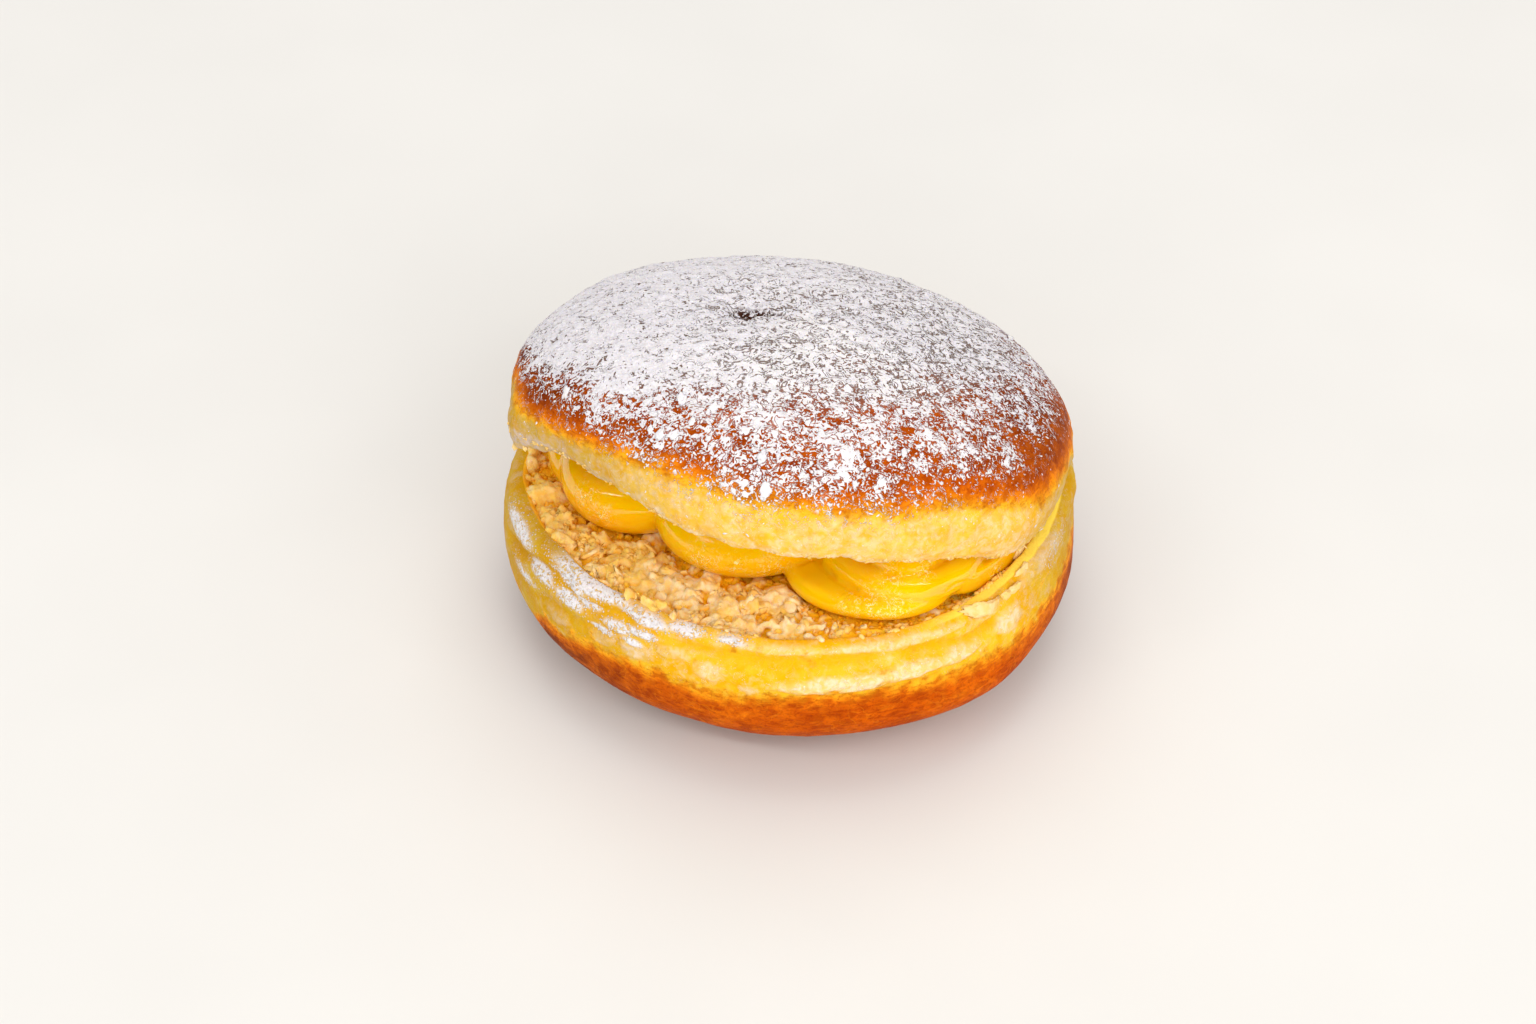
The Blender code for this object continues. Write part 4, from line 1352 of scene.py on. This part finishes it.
def icing_tone(tree):
    """Icing sugar, white with faint grey and lilac unevenness."""
    fine = spread(grain(tree, 0.5, 3.0, 0.4, 0.41), 0.34, 0.66)
    wide = spread(grain(tree, 2.4, 2.0, 0.4, 0.43), 0.35, 0.65)
    return blend(wide * 0.5, blend(fine, SUGAR_GREY, SUGAR_WHITE), SUGAR_WHITE)


def top_material():
    """Golden brown crust under icing sugar, above a pale torn band."""
    material, tree = new_material("sugared_crust")
    crust, cover, dull_side = (number(tree, name) for name in ("crust", "sugar", "dull"))
    browned = (grain(tree, 1.6, 3.0) - 0.5) * 0.45 + crust
    browned = (grain(tree, 9.0) - 0.5) * 0.5 + browned
    patchy = spread(grain(tree, 3.0, 3.0, 0.6, 0.13), 0.40, 0.62)
    low = spread(number(tree, "edge"), 1.0, 0.0, 0.50, 1.15)
    high = spread(crust, 0.35, 0.0, 0.2, 1.0)
    band, marks = pale_dough(tree, low * (patchy * 0.6 + 0.4) * high)
    # Painted shade: the pale band is darker and duller on the sides away from the front.
    band = darken(dull_side, band, (212, 214, 238))
    fried = crust_tone(tree, browned, number(tree, "deep"), 0.61)
    dough = blend(spread(browned, 0.04, 0.34), band, fried)
    dough = darken(spread(cover, 0.10, 0.50), dough, (226, 222, 214))
    # Painted shade: where the sugar lies thick, its gaps are painted grey-brown for the shade between the
    # grains.
    gap_shade = blend(spread(number(tree, "even"), 0.76, 1.0, 0.0, 0.92), dough, (112, 98, 90))
    mask = sugar_layer(tree, cover, number(tree, "veil")) * spread(cover, 0.02, 0.12)
    mask = larger(mask, loose_sugar(tree, number(tree, "dust")))
    # Painted shade: the sugar is a little greyer on the same sides.
    icing = darken(dull_side, icing_tone(tree), (244, 244, 247))
    hollow = spread(grain(tree, 0.8, 2.0, 1.2, 0.4), 0.40, 0.50)
    pucker = spread(number(tree, "pucker") * hollow, 0.10, 0.55)
    colour = blend(pucker, blend(mask, gap_shade, icing), (66, 38, 26))
    normal = raise_surface(grain(tree, 0.4), 0.14)
    normal = raise_surface(marks, 0.10, normal)
    normal = raise_surface(mask, 0.18, normal)
    return complete(material, colour, spread(mask, 0.0, 1.0, 0.5, 0.95), normal, 0.03, 0.10, 0.9)


def bottom_material():
    """Pale stretched wall over a brown crust, with torn crumb inside."""
    material, tree = new_material("pale_dough")
    crust, cream, cover = (number(tree, name) for name in ("crust", "cream", "sugar"))
    middle = grain(tree, 2.0, 3.0)
    browned = (middle - 0.5) * 0.8 + crust
    browned = (grain(tree, 8.0) - 0.5) * 0.6 + browned
    patchy = spread(grain(tree, 3.0, 3.0, 0.6, 0.13), 0.50, 0.68, 0.0, 0.35)
    wall, marks = pale_dough(tree, larger(cream, patchy))
    wall = blend(spread(number(tree, "fold"), 0.55, 0.95, 0.0, 0.8), wall, (243, 176, 8))
    # Painted shade: the pale wall is darker and duller on the sides away from the front.
    wall = darken(number(tree, "dull"), wall, (216, 218, 230))
    fried = crust_tone(tree, browned, number(tree, "deep"), 0.71)
    dough = blend(spread(browned, 0.06, 0.36), wall, fried)
    wrinkles = worm_lines(tree, 3.0, 0.03, 0.48, 0.56, 0.51) * spread(crust, 0.5, 0.9, 0.0, 0.25)
    dough = blend(wrinkles, dough, (236, 136, 20))
    torn = blend(spread(middle, 0.35, 0.65), (252, 184, 18), (254, 200, 48))
    # Painted shade: the torn face is amber low in its hollows and paler on its tops.
    torn = blend(spread(number(tree, "relief"), 0.25, 0.75), torn, (251, 208, 108))
    colour = blend(number(tree, "crumb"), dough, torn)
    # Painted light: the side-wall lining takes a brighter yellow that lifts the shade falling on it.
    colour = blend(number(tree, "side"), colour, (255, 222, 84))
    curls = spread(grain(tree, 0.8, 2.0, 1.2, 0.55), 0.40, 0.46)
    bubbles = specks(tree, 0.5, 0.42, 0.75, 0.53)
    mask = larger(curls * spread(cover, 0.25, 0.60), bubbles * spread(cover, 0.04, 0.30))
    veiled = blend(spread(cover, 0.1, 0.8, 0.0, 0.5), colour, (236, 210, 168))
    colour = blend(mask, veiled, icing_tone(tree))
    normal = raise_surface(grain(tree, 0.4), 0.14)
    normal = raise_surface(marks + wrinkles, 0.10, normal)
    normal = raise_surface(mask, 0.14, normal)
    return complete(material, colour, spread(mask, 0.0, 1.0, 0.5, 0.95), normal, 0.03, 0.12, 1.2)


def custard_material():
    """Thick glossy custard, with painted shade in a deeper orange low down, under the top half, on sheer
    sides and in creases, and rippled with real glints and painted highlight lines.
    """
    material, tree = new_material("custard")
    colour = blend(spread(grain(tree, 9.0), 0.3, 0.7), (255, 194, 0), (255, 204, 2))
    # Painted shade: deeper orange wherever the stored share says shade falls.
    colour = blend(number(tree, "painted_shade"), colour, (255, 176, 0))
    rippled = number(tree, "ripple")
    # Painted highlight: pale worm lines on the ripples stand in for glints of light.
    skin = worm_lines(tree, 0.7, 0.04, 0.46, 0.52, 0.61) * rippled
    colour = blend(skin * 0.9, colour, (255, 244, 180))
    normal = raise_surface(grain(tree, 5.0, 1.0, 0.3), 0.10)
    normal = raise_surface(grain(tree, 0.90, 1.0, 1.0) * rippled, 0.45, normal)
    rough = spread(grain(tree, 3.0), 0.3, 0.7, 0.05, 0.09)
    return complete(material, colour, rough, normal, 0.8, 0.60, 4.5, (1.0, 0.36, 0.05))


def crumb_material(name, beige, cream, glow):
    """Torn crumb, from a beige to a cream tone on top, with painted shade in amber low down and
    underneath, and a given depth of glow.
    """
    material, tree = new_material(name)
    patch = spread(grain(tree, 1.4, 3.0), 0.36, 0.64)
    colour = blend(patch, beige, cream)
    colour = blend(spread(number(tree, "lot"), 0.55, 1.0, 0.0, 0.55), colour, (252, 200, 64))
    # Painted shade: amber low on each lump and in the hollows between lumps.
    colour = blend(spread(number(tree, "lift"), 0.52, 0.06), colour, (250, 180, 20))
    normal = raise_surface(grain(tree, 0.4), 0.14)
    return complete(material, colour, spread(patch, 0.0, 1.0, 0.6, 0.8), normal, 0.02, glow, 1.4)


def sugar_material():
    """Icing sugar: white, faintly lilac and fully matt."""
    material, tree = new_material("icing_sugar")
    normal = raise_surface(grain(tree, 0.25), 0.08)
    rough = spread(grain(tree, 0.8), 0.3, 0.7, 0.9, 1.0)
    return complete(material, icing_tone(tree), rough, normal, 0.0, 0.1, 0.4)


def floor_material():
    """Plain pale floor."""
    material, tree = new_material("pale_floor")
    patch = spread(grain(tree, 60.0), 0.2, 0.8)
    fill(tree, tree.nodes["Principled BSDF"], {
        "Base Color": blend(patch, (220, 218, 214), (223, 221, 217)),
        "Roughness": spread(patch, 0.0, 1.0, 0.75, 0.8),
        "Specular IOR Level": 0.1,
    })
    return material


def make_floor():
    """Round pale floor whose edge curls down out of sight."""
    mesh = bmesh.new()
    bmesh.ops.create_circle(mesh, cap_ends=True, radius=3.0, segments=96)
    edge = [item for item in mesh.edges if item.is_boundary]
    for item in bmesh.ops.extrude_edge_only(mesh, edges=edge)["geom"]:
        if isinstance(item, bmesh.types.BMVert):
            item.co = (item.co.x * 1.02, item.co.y * 1.02, -0.05)
    data = bpy.data.meshes.new("floor")
    mesh.to_mesh(data)
    mesh.free()
    floor = link_object("floor", data)
    floor.data.materials.append(floor_material())


def make_camera():
    """Camera at the photo's angle, aimed a little above the floor."""
    data = bpy.data.cameras.new("camera")
    data.lens = CAMERA_LENS
    data.sensor_width = CAMERA_SENSOR
    camera = link_object("camera", data)
    elevation = math.radians(CAMERA_ELEVATION)
    away = Vector((0.0, -math.cos(elevation), math.sin(elevation)))
    camera.location = Vector(CAMERA_AIM) + CAMERA_DISTANCE * away
    camera.rotation_euler = (math.pi / 2.0 - elevation, 0.0, 0.0)
    bpy.context.scene.camera = camera


def soft_light(name, place, size, power, colour, seen_in_gloss):
    """Soft light of a given width and height, which glossy surfaces mirror only if asked."""
    data = bpy.data.lights.new(name, "AREA")
    data.shape = "RECTANGLE"
    data.size, data.size_y = size
    data.energy = power
    data.color = colour
    lamp = link_object(name, data)
    lamp.location = place
    lamp.visible_glossy = seen_in_gloss
    aim = Vector(LIGHT_AIM) - Vector(place)
    lamp.rotation_euler = aim.to_track_quat("-Z", "Y").to_euler()


def make_light():
    """Soft studio light from a wide strip above the front, and from around, under a pale sky."""
    for light in LIGHTS:
        soft_light(*light)
    world = bpy.data.worlds.new("pale_sky")
    world.use_nodes = True
    sky = world.node_tree.nodes["Background"]
    sky.inputs["Color"].default_value = SKY_COLOUR
    sky.inputs["Strength"].default_value = SKY_STRENGTH
    world.cycles_visibility.glossy = False
    bpy.context.scene.world = world
    bpy.context.scene.view_settings.view_transform = "Standard"


def dress(item, material):
    """Give a piece its material and the body it moves with."""
    item.data.materials.clear()
    item.data.materials.append(material)
    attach(item, "root")


def build():
    """Make every piece of the doughnut and its stage."""
    bottom, custard, top = make_bottom_half(), make_custard(), make_top_half()
    dress(bottom, bottom_material())
    dress(custard, custard_material())
    dress(top, top_material())
    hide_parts("bottom_half")
    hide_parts("custard_filling")
    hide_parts("top_half")
    sugar = sugar_material()
    for piece in make_sugar(top):
        dress(piece, sugar)
    crumb = crumb_material("torn_crumb", (248, 202, 116), (252, 226, 180), 0.4)
    crumbs = crumb_material("fine_crumb", (249, 204, 116), (252, 227, 178), 0.0)
    dress(make_crumb_chunks(bottom), crumb)
    dress(crumb_lumps(bottom, "crumb_flakes"), crumbs)
    dress(crumb_lumps(bottom, "fine_crumbs"), crumbs)
    torn = crumb_material("torn_dough", (240, 202, 118), (244, 214, 152), 0.0)
    lip, flap, rim = make_shreds(top)
    dress(lip, torn)
    dress(flap, torn)
    dress(rim, torn)
    make_floor()
    make_light()
    make_camera()


build()
